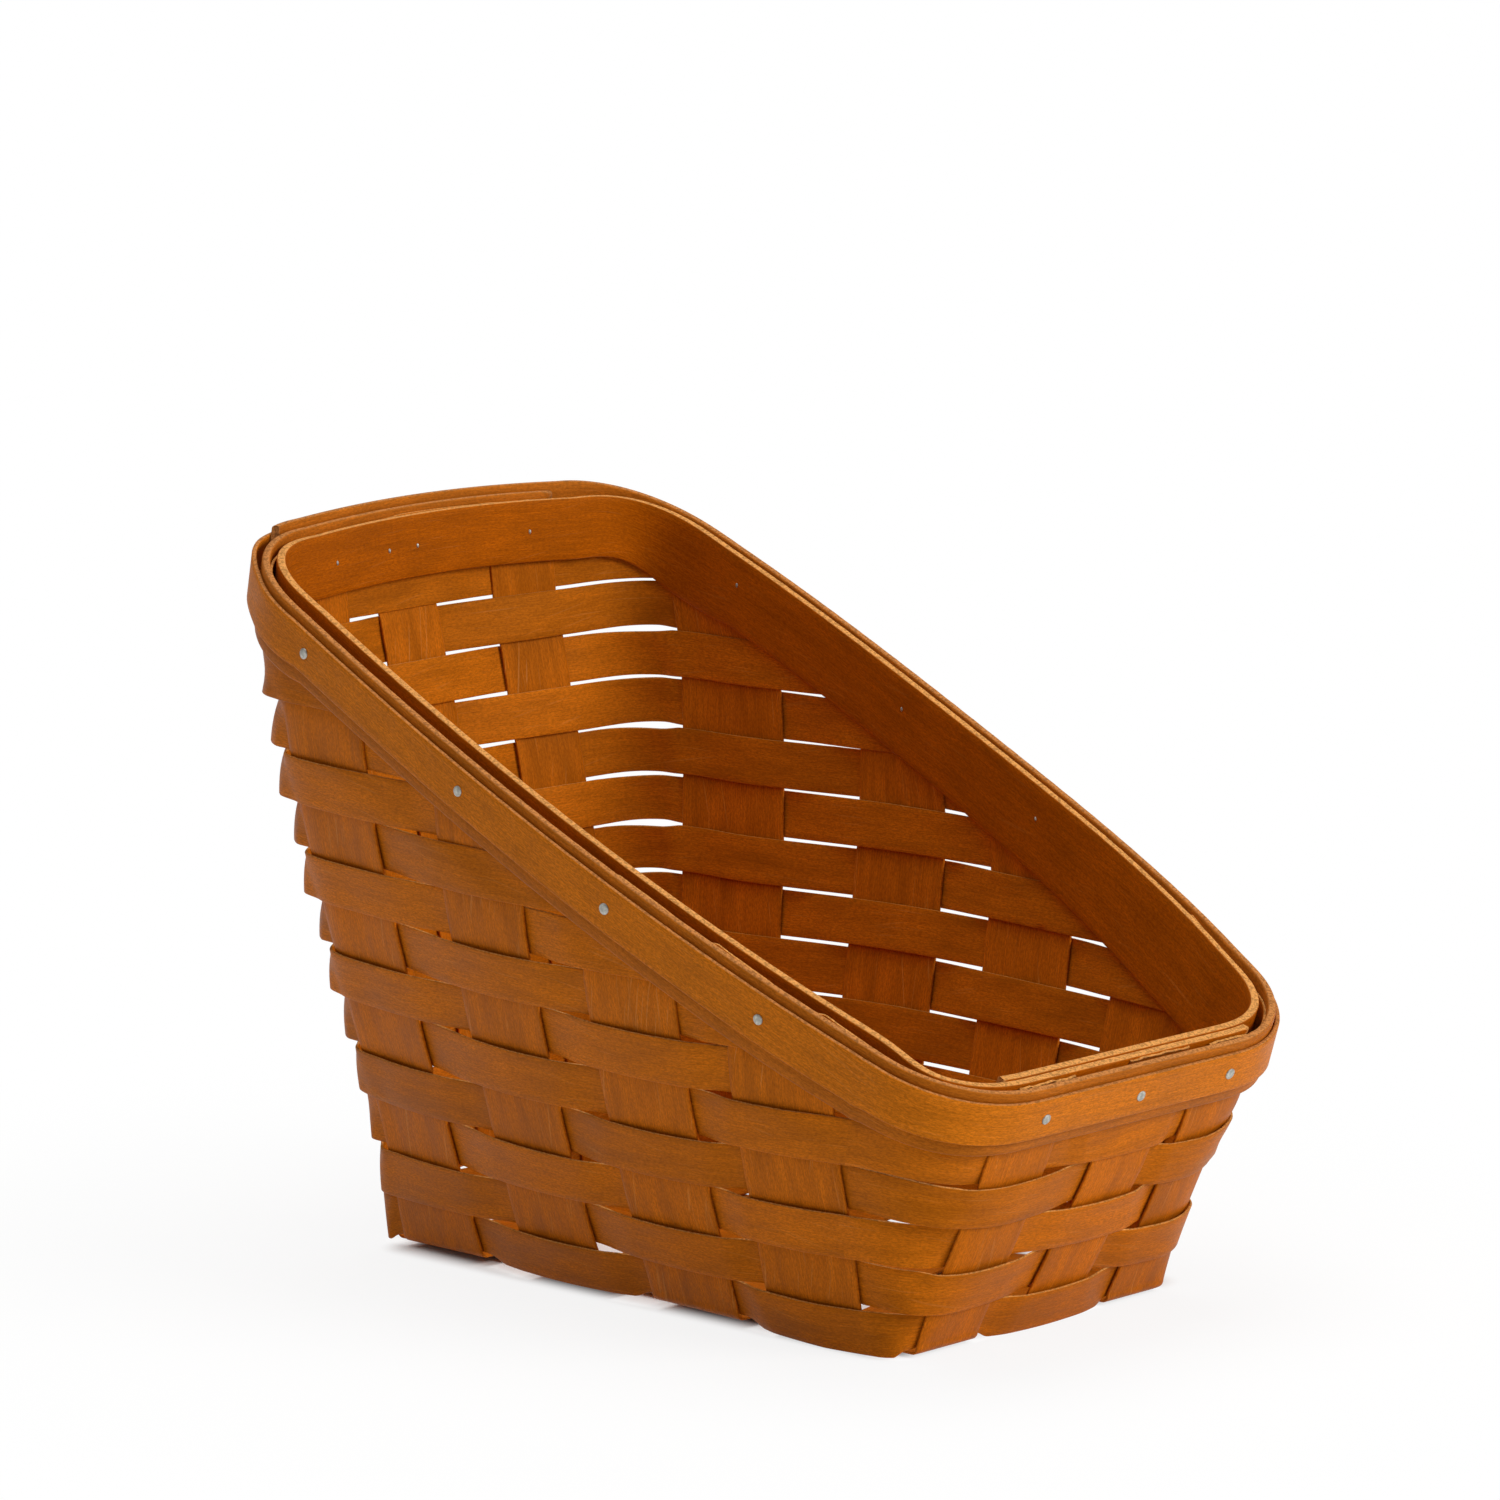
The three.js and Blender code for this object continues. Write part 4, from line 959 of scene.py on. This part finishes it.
class BASKET_OT_tacks(bpy.types.Operator):
    """Drive the tacks that hold the rim's layers together"""
    bl_idname = "basket.tacks"
    bl_label = "Tacks"

    def execute(self, context):
        s = sizes()
        material = zinc("Tack zinc", colours().tack)
        rng = np.random.default_rng(SEEDS.tacks)
        for side, places in TACKS.items():
            for i, place in enumerate(places):
                centre, face = tack_seat(side, place)
                face = Vector(face) + Vector(rng.normal(0, HEAD_TILT, 3))
                head = head_profile(s.tack_radius * rng.uniform(*HEAD_SPREAD), s.tack_height)
                points, faces = lathe(head, HEAD_SIDES)
                points = planted(points, face, centre)
                if side != "front":
                    tip, way = point_seat(side, place)
                    flat, flat_faces = lathe(point_profile(s.point_radius), POINT_SIDES)
                    faces = np.concatenate([faces, flat_faces + len(points)])
                    points = np.concatenate([points, planted(flat * POINT_STRETCH, -way, tip)])
                uv = points[faces][..., :2]
                obj = add_mesh(f"rim_tack_{side}_{i + 1}", points, faces, uv, np.zeros(len(points)), 0)
                finish_piece(obj, material, "tack", f"tack_{side}_{i + 1}")
        return {"FINISHED"}


class Value:
    """A socket that takes part in sums: an expression on values adds the Math nodes for it."""

    def __init__(self, maker, socket):
        self.maker, self.socket = maker, socket

    def _with(self, operation, a, b):
        return self.maker.node("ShaderNodeMath", {"operation": operation}, {0: a, 1: b})

    def __add__(self, other):
        return self._with("ADD", self, other)

    def __sub__(self, other):
        return self._with("SUBTRACT", self, other)

    def __mul__(self, other):
        return self._with("MULTIPLY", self, other)

    def __truediv__(self, other):
        return self._with("DIVIDE", self, other)

    def __pow__(self, other):
        return self._with("POWER", self, other)

    def __rsub__(self, other):
        return self._with("SUBTRACT", other, self)

    __radd__, __rmul__ = __add__, __mul__


class Maker:
    """Builds one material's nodes."""

    def __init__(self, name):
        self.material = bpy.data.materials.get(name) or bpy.data.materials.new(name)
        self.material.use_nodes = True
        self.tree = self.material.node_tree
        self.tree.nodes.clear()

    def node(self, kind, settings=None, inputs=None, output=0):
        """A node of a kind: its settings first, then the values or links of its sockets."""
        node = self.tree.nodes.new(kind)
        for key, value in (settings or {}).items():
            if key == "stops":
                ramp = node.color_ramp.elements
                while len(ramp) < len(value):
                    ramp.new(0.5)
                for element, (position, colour) in zip(ramp, value):
                    element.position, element.color = position, colour
            else:
                setattr(node, key, value)
        for key, value in (inputs or {}).items():
            if isinstance(value, Value):
                self.tree.links.new(value.socket, node.inputs[key])
            else:
                node.inputs[key].default_value = value
        return Value(self, node.outputs[output])

    def blend(self, share, a, b, how="MIX"):
        """A colour between a and b, by a share."""
        settings = {"data_type": "RGBA", "blend_type": how}
        return self.node("ShaderNodeMix", settings, {0: share, 6: a, 7: b}, output=2)

    def span(self, value, low, high, to_low=0.0, to_high=1.0):
        """A value carried from one range into another, held at its ends, with a smooth step."""
        settings = {"interpolation_type": "SMOOTHSTEP"}
        inputs = {0: value, 1: low, 2: high, 3: to_low, 4: to_high}
        return self.node("ShaderNodeMapRange", settings, inputs)

    def noise(self, at, detail, roughness):
        inputs = {"Vector": at, "Scale": 1.0, "Detail": detail, "Roughness": roughness}
        return self.node("ShaderNodeTexNoise", {"noise_dimensions": "3D"}, inputs)

    def most(self, a, b):
        """The greater of two values."""
        return self.node("ShaderNodeMath", {"operation": "MAXIMUM"}, {0: a, 1: b})

    def join(self, x, y, z):
        return self.node("ShaderNodeCombineXYZ", None, {0: x, 1: y, 2: z})

    def strands(self, along, across, layer):
        """Noise drawn out along a strip: `layer` is its scales along and across, a place that keeps it apart
        from the other noises, its detail and its roughness."""
        along_scale, across_scale, apart, detail, roughness = layer
        return self.noise(self.join(along * along_scale, across * across_scale, apart), detail, roughness)

    def split(self, vector):
        node = self.tree.nodes.new("ShaderNodeSeparateXYZ")
        self.tree.links.new(vector.socket, node.inputs[0])
        return [Value(self, socket) for socket in node.outputs]

    def surface(self, shader):
        out = self.tree.nodes.new("ShaderNodeOutputMaterial")
        self.tree.links.new(shader.socket, out.inputs[0])
        return self.material


# Grain: fibres per metre along and across a strip, and the shares of the fibres, flecks, mottling, pale
# lines, grit and scratches
WEAVER_GRAIN = SimpleNamespace(along=190.0, across=2600.0, fibres=0.6, flecks=0.75, mottle=0.62, pale=0.16,
                               grit=0.75, scratch=0.12)
UPRIGHT_GRAIN = SimpleNamespace(along=70.0, across=2600.0, fibres=0.65, flecks=0.6, mottle=0.75, pale=0.22,
                                grit=0.75, scratch=0.25)
BAND_GRAIN = SimpleNamespace(along=150.0, across=2400.0, fibres=0.6, flecks=0.75, mottle=0.5, pale=0.12,
                             grit=0.8, scratch=0.08)


# Noises of the wood: scales along and across per metre, a place of its own, detail and roughness
SWAY = (12.0, 25.0, 0.0, 1.0, 0.5)
GRIT = (700.0, 1900.0, 17.0, 3.0, 0.7)
LINES = (22.0, 900.0, 7.0, 3.0, 0.6)
MOTTLE = (38.0, 150.0, 9.0, 3.0, 0.55)
FLECKS = (620.0, 3600.0, 11.0, 2.0, 0.6)
PALE = (30.0, 1300.0, 23.0, 2.0, 0.5)
SCRATCH = (20.0, 900.0, 31.0, 1.0, 0.5)
SCRATCHED_PARTS = (45.0, 60.0, 37.0, 1.0, 0.5)
SWAY_REACH = 0.008
PORE_SCALE = 950.0
BLOTCH_SCALE = 900.0
FINE_SCALE = 4000.0


def rgba(colour, gain=1.0):
    return (colour[0] * gain, colour[1] * gain, colour[2] * gain, 1.0)


def wood(name, colour, grain, sawn):
    """Stained splint: fine fibres, short dark flecks, soft mottling and pale lines over a base colour, with
    rougher sawn edges in a colour of their own, speckled with dark pores."""
    m = Maker(name)
    u, v, _ = m.split(m.node("ShaderNodeUVMap", {"uv_map": "Strip"}))
    edge = m.node("ShaderNodeAttribute", {"attribute_name": "edge"}, output=2)
    tone = m.node("ShaderNodeAttribute", {"attribute_name": "tone"}, output=2)
    solid = m.node("ShaderNodeTexCoord", output=3)
    bent = v + (m.strands(u, v, SWAY) - 0.5) * SWAY_REACH
    fibres = m.strands(u, bent, (grain.along, grain.across, 3.0, 4.0, 0.7))
    grit = m.strands(u, v, GRIT)
    lines = m.strands(u, bent, LINES)
    mottle = m.strands(u, bent, MOTTLE)
    flecks = m.span(m.strands(u, v, FLECKS), 0.58, 0.7)
    pale = m.span(m.strands(u, bent, PALE), 0.64, 0.74)
    shade = m.span(mottle * grain.mottle + lines * (1 - grain.mottle) + tone * 0.09, 0.25, 0.75)
    base = m.blend(shade, rgba(colour, 0.72), rgba(colour, 1.25))
    base = m.blend(m.span(fibres, 0.4, 0.64) * grain.fibres, base, m.blend(0.5, base, rgba(colour, 0.35)))
    base = m.blend(m.span(grit, 0.42, 0.6) * grain.grit, base, m.blend(0.5, base, rgba(colour, 0.3)))
    scratch = m.span(m.strands(u + v * 0.35, v - u * 0.2, SCRATCH), 0.655, 0.68)
    scratch = scratch * m.span(m.strands(u, v, SCRATCHED_PARTS), 0.5, 0.58)
    base = m.blend(flecks * grain.flecks, base, rgba(colour, 0.45))
    base = m.blend(m.most(pale * grain.pale, scratch * grain.scratch), base, rgba(colours().streak))
    speckle = {"Vector": solid, "Scale": PORE_SCALE, "Detail": 4.0, "Roughness": 0.7}
    pores = m.node("ShaderNodeTexNoise", None, speckle)
    cut = m.blend(m.span(pores, 0.43, 0.6), rgba(sawn), rgba(sawn, 0.5))
    pale_edge = m.span(edge + (pores - 0.5) * 0.7, 0.55, 0.95)
    base = m.blend(pale_edge * 0.9, base, cut)
    height = fibres * 0.5 + lines * 0.3 - flecks * 0.4 - pale_edge * pores * 1.5
    bump = m.node("ShaderNodeBump", None, {"Strength": 0.3, "Distance": 0.0002, "Height": height})
    rough = m.span(mottle, 0.3, 0.7, 0.42, 0.52) + pale_edge * 0.3
    inputs = {"Base Color": base, "Roughness": rough, "Normal": bump, "Specular IOR Level": 0.1,
              "Specular Tint": rgba(colours().sheen)}
    return m.surface(m.node("ShaderNodeBsdfPrincipled", None, inputs))


def zinc(name, colour):
    """Dull zinc: blotchy grey metal with fine scratches."""
    m = Maker(name)
    at = m.node("ShaderNodeTexCoord", output=3)
    blotch = m.node("ShaderNodeTexNoise", None, {"Vector": at, "Scale": BLOTCH_SCALE, "Detail": 3.0})
    fine = m.node("ShaderNodeTexNoise", None, {"Vector": at, "Scale": FINE_SCALE, "Detail": 2.0})
    base = m.blend(m.span(blotch, 0.35, 0.7), rgba(colour, 0.7), rgba(colour, 1.15))
    rough = m.span(fine, 0.3, 0.7, 0.35, 0.6)
    bump = m.node("ShaderNodeBump", None, {"Strength": 0.3, "Distance": 0.0001, "Height": blotch})
    inputs = {"Base Color": base, "Metallic": 0.85, "Roughness": rough, "Normal": bump}
    return m.surface(m.node("ShaderNodeBsdfPrincipled", None, inputs))


def backdrop(name):
    """Floor: a pale matt surface that turns into plain white light for the camera away from the footprint.
    The distance is the length of what lies beyond the footprint along x and y."""
    st = bpy.context.scene.basket_studio
    m = Maker(name)
    x, y, _ = m.split(m.node("ShaderNodeTexCoord", output=3))
    beyond_x = m.most(m.most(x, -1.0 * x) - st.footprint[0], 0.0)
    beyond_y = m.most(m.most(y, -1.0 * y) - st.footprint[1], 0.0)
    away = (beyond_x * beyond_x + beyond_y * beyond_y) ** 0.5
    path = m.node("ShaderNodeLightPath")
    seen = m.node("ShaderNodeLightPath", output=3)
    lift = m.span(away, 0.0, st.floor_near, 0.0, st.floor_lift)
    share = (lift + m.span(away, st.floor_near, st.floor_far, 0.0, 1.0 - st.floor_lift)) * m.most(path, seen)
    matt = m.node("ShaderNodeBsdfDiffuse", None, {"Color": rgba((st.floor_tone,) * 3)})
    white = m.node("ShaderNodeEmission", None, {"Color": rgba(st.backdrop), "Strength": 1.0})
    return m.surface(m.node("ShaderNodeMixShader", None, {0: share, 1: matt, 2: white}))


# Each soft light's place, width and colour; its power is in the studio's properties
LIGHTS = {"key": ((0.8, -2.5, 1.3), 1.4, (1, 0.98, 0.95)), "fill": ((-2.0, -0.6, 2.3), 2.0, (1, 0.99, 0.98)),
          "top": ((0.2, 0.5, 2.6), 2.4, (1, 1, 1))}
LIGHT_TARGET = (0, 0, 0.1)
SENSOR_WIDTH = 36
CLIP_END = 20


def area_light(name, place, target, size, power, colour):
    data = bpy.data.lights.new(name, "AREA")
    data.shape, data.size, data.energy, data.color = "DISK", size, power, colour
    lamp = bpy.data.objects.new(name, data)
    lamp.location = place
    lamp.rotation_euler = (Vector(target) - Vector(place)).to_track_quat("-Z", "Y").to_euler()
    bpy.context.collection.objects.link(lamp)
    return lamp


class BASKET_OT_stage(bpy.types.Operator):
    """Set up the floor, the lights and the camera"""
    bl_idname = "basket.stage"
    bl_label = "Stage"

    def execute(self, context):
        st = context.scene.basket_studio
        half = st.floor_half
        mesh = bpy.data.meshes.new("floor")
        corners = [(-half, -half, 0), (half, -half, 0), (half, half, 0), (-half, half, 0)]
        mesh.from_pydata(corners, [], [(0, 1, 2, 3)])
        floor = bpy.data.objects.new("floor", mesh)
        context.collection.objects.link(floor)
        mesh.materials.append(backdrop("Backdrop white"))

        for name, (place, size, colour) in LIGHTS.items():
            area_light(name, place, LIGHT_TARGET, size, getattr(st, f"{name}_power"), colour)

        world = bpy.data.worlds.new("Studio")
        context.scene.world = world
        world.use_nodes = True
        tree = world.node_tree
        tree.nodes.clear()
        out = tree.nodes.new("ShaderNodeOutputWorld")
        light = tree.nodes.new("ShaderNodeBackground")
        light.inputs[1].default_value = st.world_strength
        white = tree.nodes.new("ShaderNodeBackground")
        white.inputs[0].default_value = rgba(st.backdrop)
        path = tree.nodes.new("ShaderNodeLightPath")
        shader = tree.nodes.new("ShaderNodeMixShader")
        tree.links.new(path.outputs["Is Camera Ray"], shader.inputs[0])
        tree.links.new(light.outputs[0], shader.inputs[1])
        tree.links.new(white.outputs[0], shader.inputs[2])
        tree.links.new(shader.outputs[0], out.inputs[0])

        data = bpy.data.cameras.new("camera")
        data.lens, data.sensor_width = st.lens, SENSOR_WIDTH
        data.shift_x, data.shift_y = st.shift[0], st.shift[1]
        data.clip_end = CLIP_END
        camera = bpy.data.objects.new("camera", data)
        context.collection.objects.link(camera)
        yaw, pitch, roll = (radians(a) for a in st.camera_turn)
        look = Vector((sin(yaw) * cos(pitch), cos(yaw) * cos(pitch), -sin(pitch)))
        level = Vector((cos(yaw), -sin(yaw), 0))
        up = level.cross(look)
        right = level * cos(roll) + up * sin(roll)
        up = right.cross(look)
        turn = Matrix((right, up, -look)).transposed()
        camera.matrix_world = Matrix.Translation(st.camera_place) @ turn.to_4x4()
        context.scene.camera = camera
        context.scene.view_settings.view_transform = "Standard"
        return {"FINISHED"}


def length(name, description, default):
    return FloatProperty(name=name, description=description, default=default, unit="LENGTH", precision=5)


def paint(name, description, default):
    return FloatVectorProperty(name=name, description=description, default=default, size=3, subtype="COLOR",
                               min=0, max=1)


def fraction(name, description, default):
    return FloatProperty(name=name, description=description, default=default, min=0, max=1)


def watts(name, description, default):
    return FloatProperty(name=name, description=description, default=default, subtype="POWER")


class BasketSizes(bpy.types.PropertyGroup):
    splint: length("Splint", "Thickness of the woven splint", 0.0009)
    weaver_width: length("Weaver width", "Width of a woven row", 0.0155)
    weave_offset: length("Weave offset", "How far a row lies from the wall beside an upright", 0.00125)
    weave_bulge: length("Weave bulge", "How much further out a row lies over an upright's middle", 0.0006)
    edge_gap: length("Edge gap", "How far from an upright's edge a row starts to turn", 0.0006)
    upper_lean: length("Upper lean", "How far a row's upper edge stands off", 0.00015)
    upright_wave: length("Upright wave", "How far the rows push an upright in and out", 0.0002)
    upright_step: length("Upright step", "Length of an upright between its sections", 0.0016)
    row_wander: length("Row wander", "How unevenly a row's edges run", 0.00022)
    top_ragged: length("Ragged tops", "How unevenly the splints are cut under the rim", 0.0003)
    edge_round: length("Splint edge", "Rounding of a splint's edges", 0.0003)
    held_offset: length("Held offset", "How far a row lies from the wall's middle between the bands", 0.0005)
    held_wave: length("Held wave", "How far the rows push an upright in and out between the bands", 0.00045)
    rim_room: length("Rim room", "Half the room between the two bands", 0.00102)
    foot: length("Foot", "Height of the lowest row's edge above the floor", 0.0009)
    inner_width: length("Inner band width", "Width of the inner band", 0.0254)
    inner_narrowing: length("Inner narrowing", "How much narrower the inner band is along the back", 0.0045)
    inner_thickness: length("Inner band thickness", "Thickness of the inner band", 0.0028)
    outer_width: length("Outer band width", "Width of the outer band", 0.0222)
    outer_thickness: length("Outer band thickness", "Thickness of the outer band", 0.0028)
    trim_width: length("Trim width", "Width of the trim strip", 0.0143)
    trim_thickness: length("Trim thickness", "Thickness of the trim strip", 0.0016)
    inner_round: length("Inner band edge", "Rounding of the inner band's edges", 0.0005)
    outer_round: length("Outer band edge", "Rounding of the outer band's edges", 0.0009)
    trim_round: length("Trim edge", "Rounding of the trim's edges", 0.0005)
    butt_gap: length("Butt gap", "Gap where the trim's ends meet", 0.0005)
    tack_radius: length("Tack radius", "Radius of a tack's head", 0.00175)
    tack_height: length("Tack height", "How far a tack's head stands proud", 0.0006)
    point_radius: length("Point radius", "Radius of a tack's clinched point", 0.0005)

class BasketColours(bpy.types.PropertyGroup):
    weaver: paint("Weaver", "Stain of the woven rows", (0.54, 0.142, 0.005))
    upright: paint("Upright", "Stain of the uprights", (0.545, 0.139, 0.005))
    inner: paint("Inner band", "Stain of the inner band", (0.465, 0.105, 0.0015))
    outer: paint("Outer band", "Stain of the outer band", (0.52, 0.143, 0.01))
    trim: paint("Trim", "Stain of the trim strip", (0.565, 0.157, 0.007))
    edge: paint("Sawn edge", "Sawn edges of the inner band", (0.77, 0.355, 0.1))
    outer_edge: paint("Outer edge", "Stained edges of the outer band and the trim", (0.56, 0.225, 0.065))
    splint_edge: paint("Splint edge", "Edges of the woven splint", (0.72, 0.33, 0.09))
    streak: paint("Pale streak", "Pale lines in the grain", (0.7, 0.31, 0.08))
    sheen: paint("Sheen", "Warm tint of the varnish's shine", (1.0, 0.55, 0.15))
    tack: paint("Tack", "Dull zinc", (0.52, 0.51, 0.46))


class BasketStudio(bpy.types.PropertyGroup):
    camera_place: FloatVectorProperty(name="Camera place", description="Where the camera stands", size=3,
                                      default=(-1.561745, -1.553391, 0.53315), unit="LENGTH")
    camera_turn: FloatVectorProperty(name="Camera turn", description="Heading, dip and roll in degrees",
                                     size=3, default=(45.0211, 9.5529, -1.2135))
    lens: FloatProperty(name="Lens", description="Focal length in millimetres", default=169.614)
    shift: FloatVectorProperty(name="Shift", description="Camera shift in frame widths", size=2,
                               default=(0.00163, 0.0091))
    floor_half: length("Floor", "Half the floor's side", 6.0)
    footprint: FloatVectorProperty(name="Footprint", description="Half the shaded floor's width and length",
                                   size=2, default=(0.057, 0.105), unit="LENGTH")
    floor_near: length("Floor near", "Distance from the footprint at which the floor is mostly white", 0.014)
    floor_far: length("Floor far", "Distance from the footprint at which the floor is white", 0.3)
    floor_tone: fraction("Floor tone", "Brightness of the floor's colour", 0.9)
    floor_lift: fraction("Floor lift", "Share of plain white near the basket", 0.86)
    backdrop: paint("Backdrop", "Colour of the background", (1.0, 1.0, 1.0))
    key_power: watts("Key", "Power of the key light in watts", 55.5)
    fill_power: watts("Fill", "Power of the fill light in watts", 8)
    top_power: watts("Top", "Power of the top light in watts", 41)
    world_strength: FloatProperty(name="Room", description="Light of the room all round", default=0.31)


class BASKET_PT_panel(bpy.types.Panel):
    bl_label = "Basket"
    bl_idname = "BASKET_PT_panel"
    bl_space_type = "VIEW_3D"
    bl_region_type = "UI"
    bl_category = "Basket"

    def draw(self, context):
        for operator in OPERATORS:
            self.layout.operator(operator.bl_idname)
        for group in (context.scene.basket_sizes, context.scene.basket_colours, context.scene.basket_studio):
            box = self.layout.box()
            for name in group.bl_rna.properties.keys():
                if name not in ("rna_type", "name"):
                    box.prop(group, name)


OPERATORS = (BASKET_OT_uprights, BASKET_OT_weavers, BASKET_OT_rim, BASKET_OT_tacks, BASKET_OT_stage)
GROUPS = {"basket_sizes": BasketSizes, "basket_colours": BasketColours, "basket_studio": BasketStudio}


def register():
    for cls in (*GROUPS.values(), *OPERATORS, BASKET_PT_panel):
        bpy.utils.register_class(cls)
    for name, group in GROUPS.items():
        setattr(bpy.types.Scene, name, PointerProperty(type=group))


def unregister():
    for name in GROUPS:
        delattr(bpy.types.Scene, name)
    for cls in (BASKET_PT_panel, *reversed(OPERATORS), *reversed(GROUPS.values())):
        bpy.utils.unregister_class(cls)


def main():
    register()
    bpy.ops.basket.uprights()
    bpy.ops.basket.weavers()
    bpy.ops.basket.rim()
    bpy.ops.basket.tacks()
    bpy.ops.basket.stage()


if __name__ == "__main__":
    main()
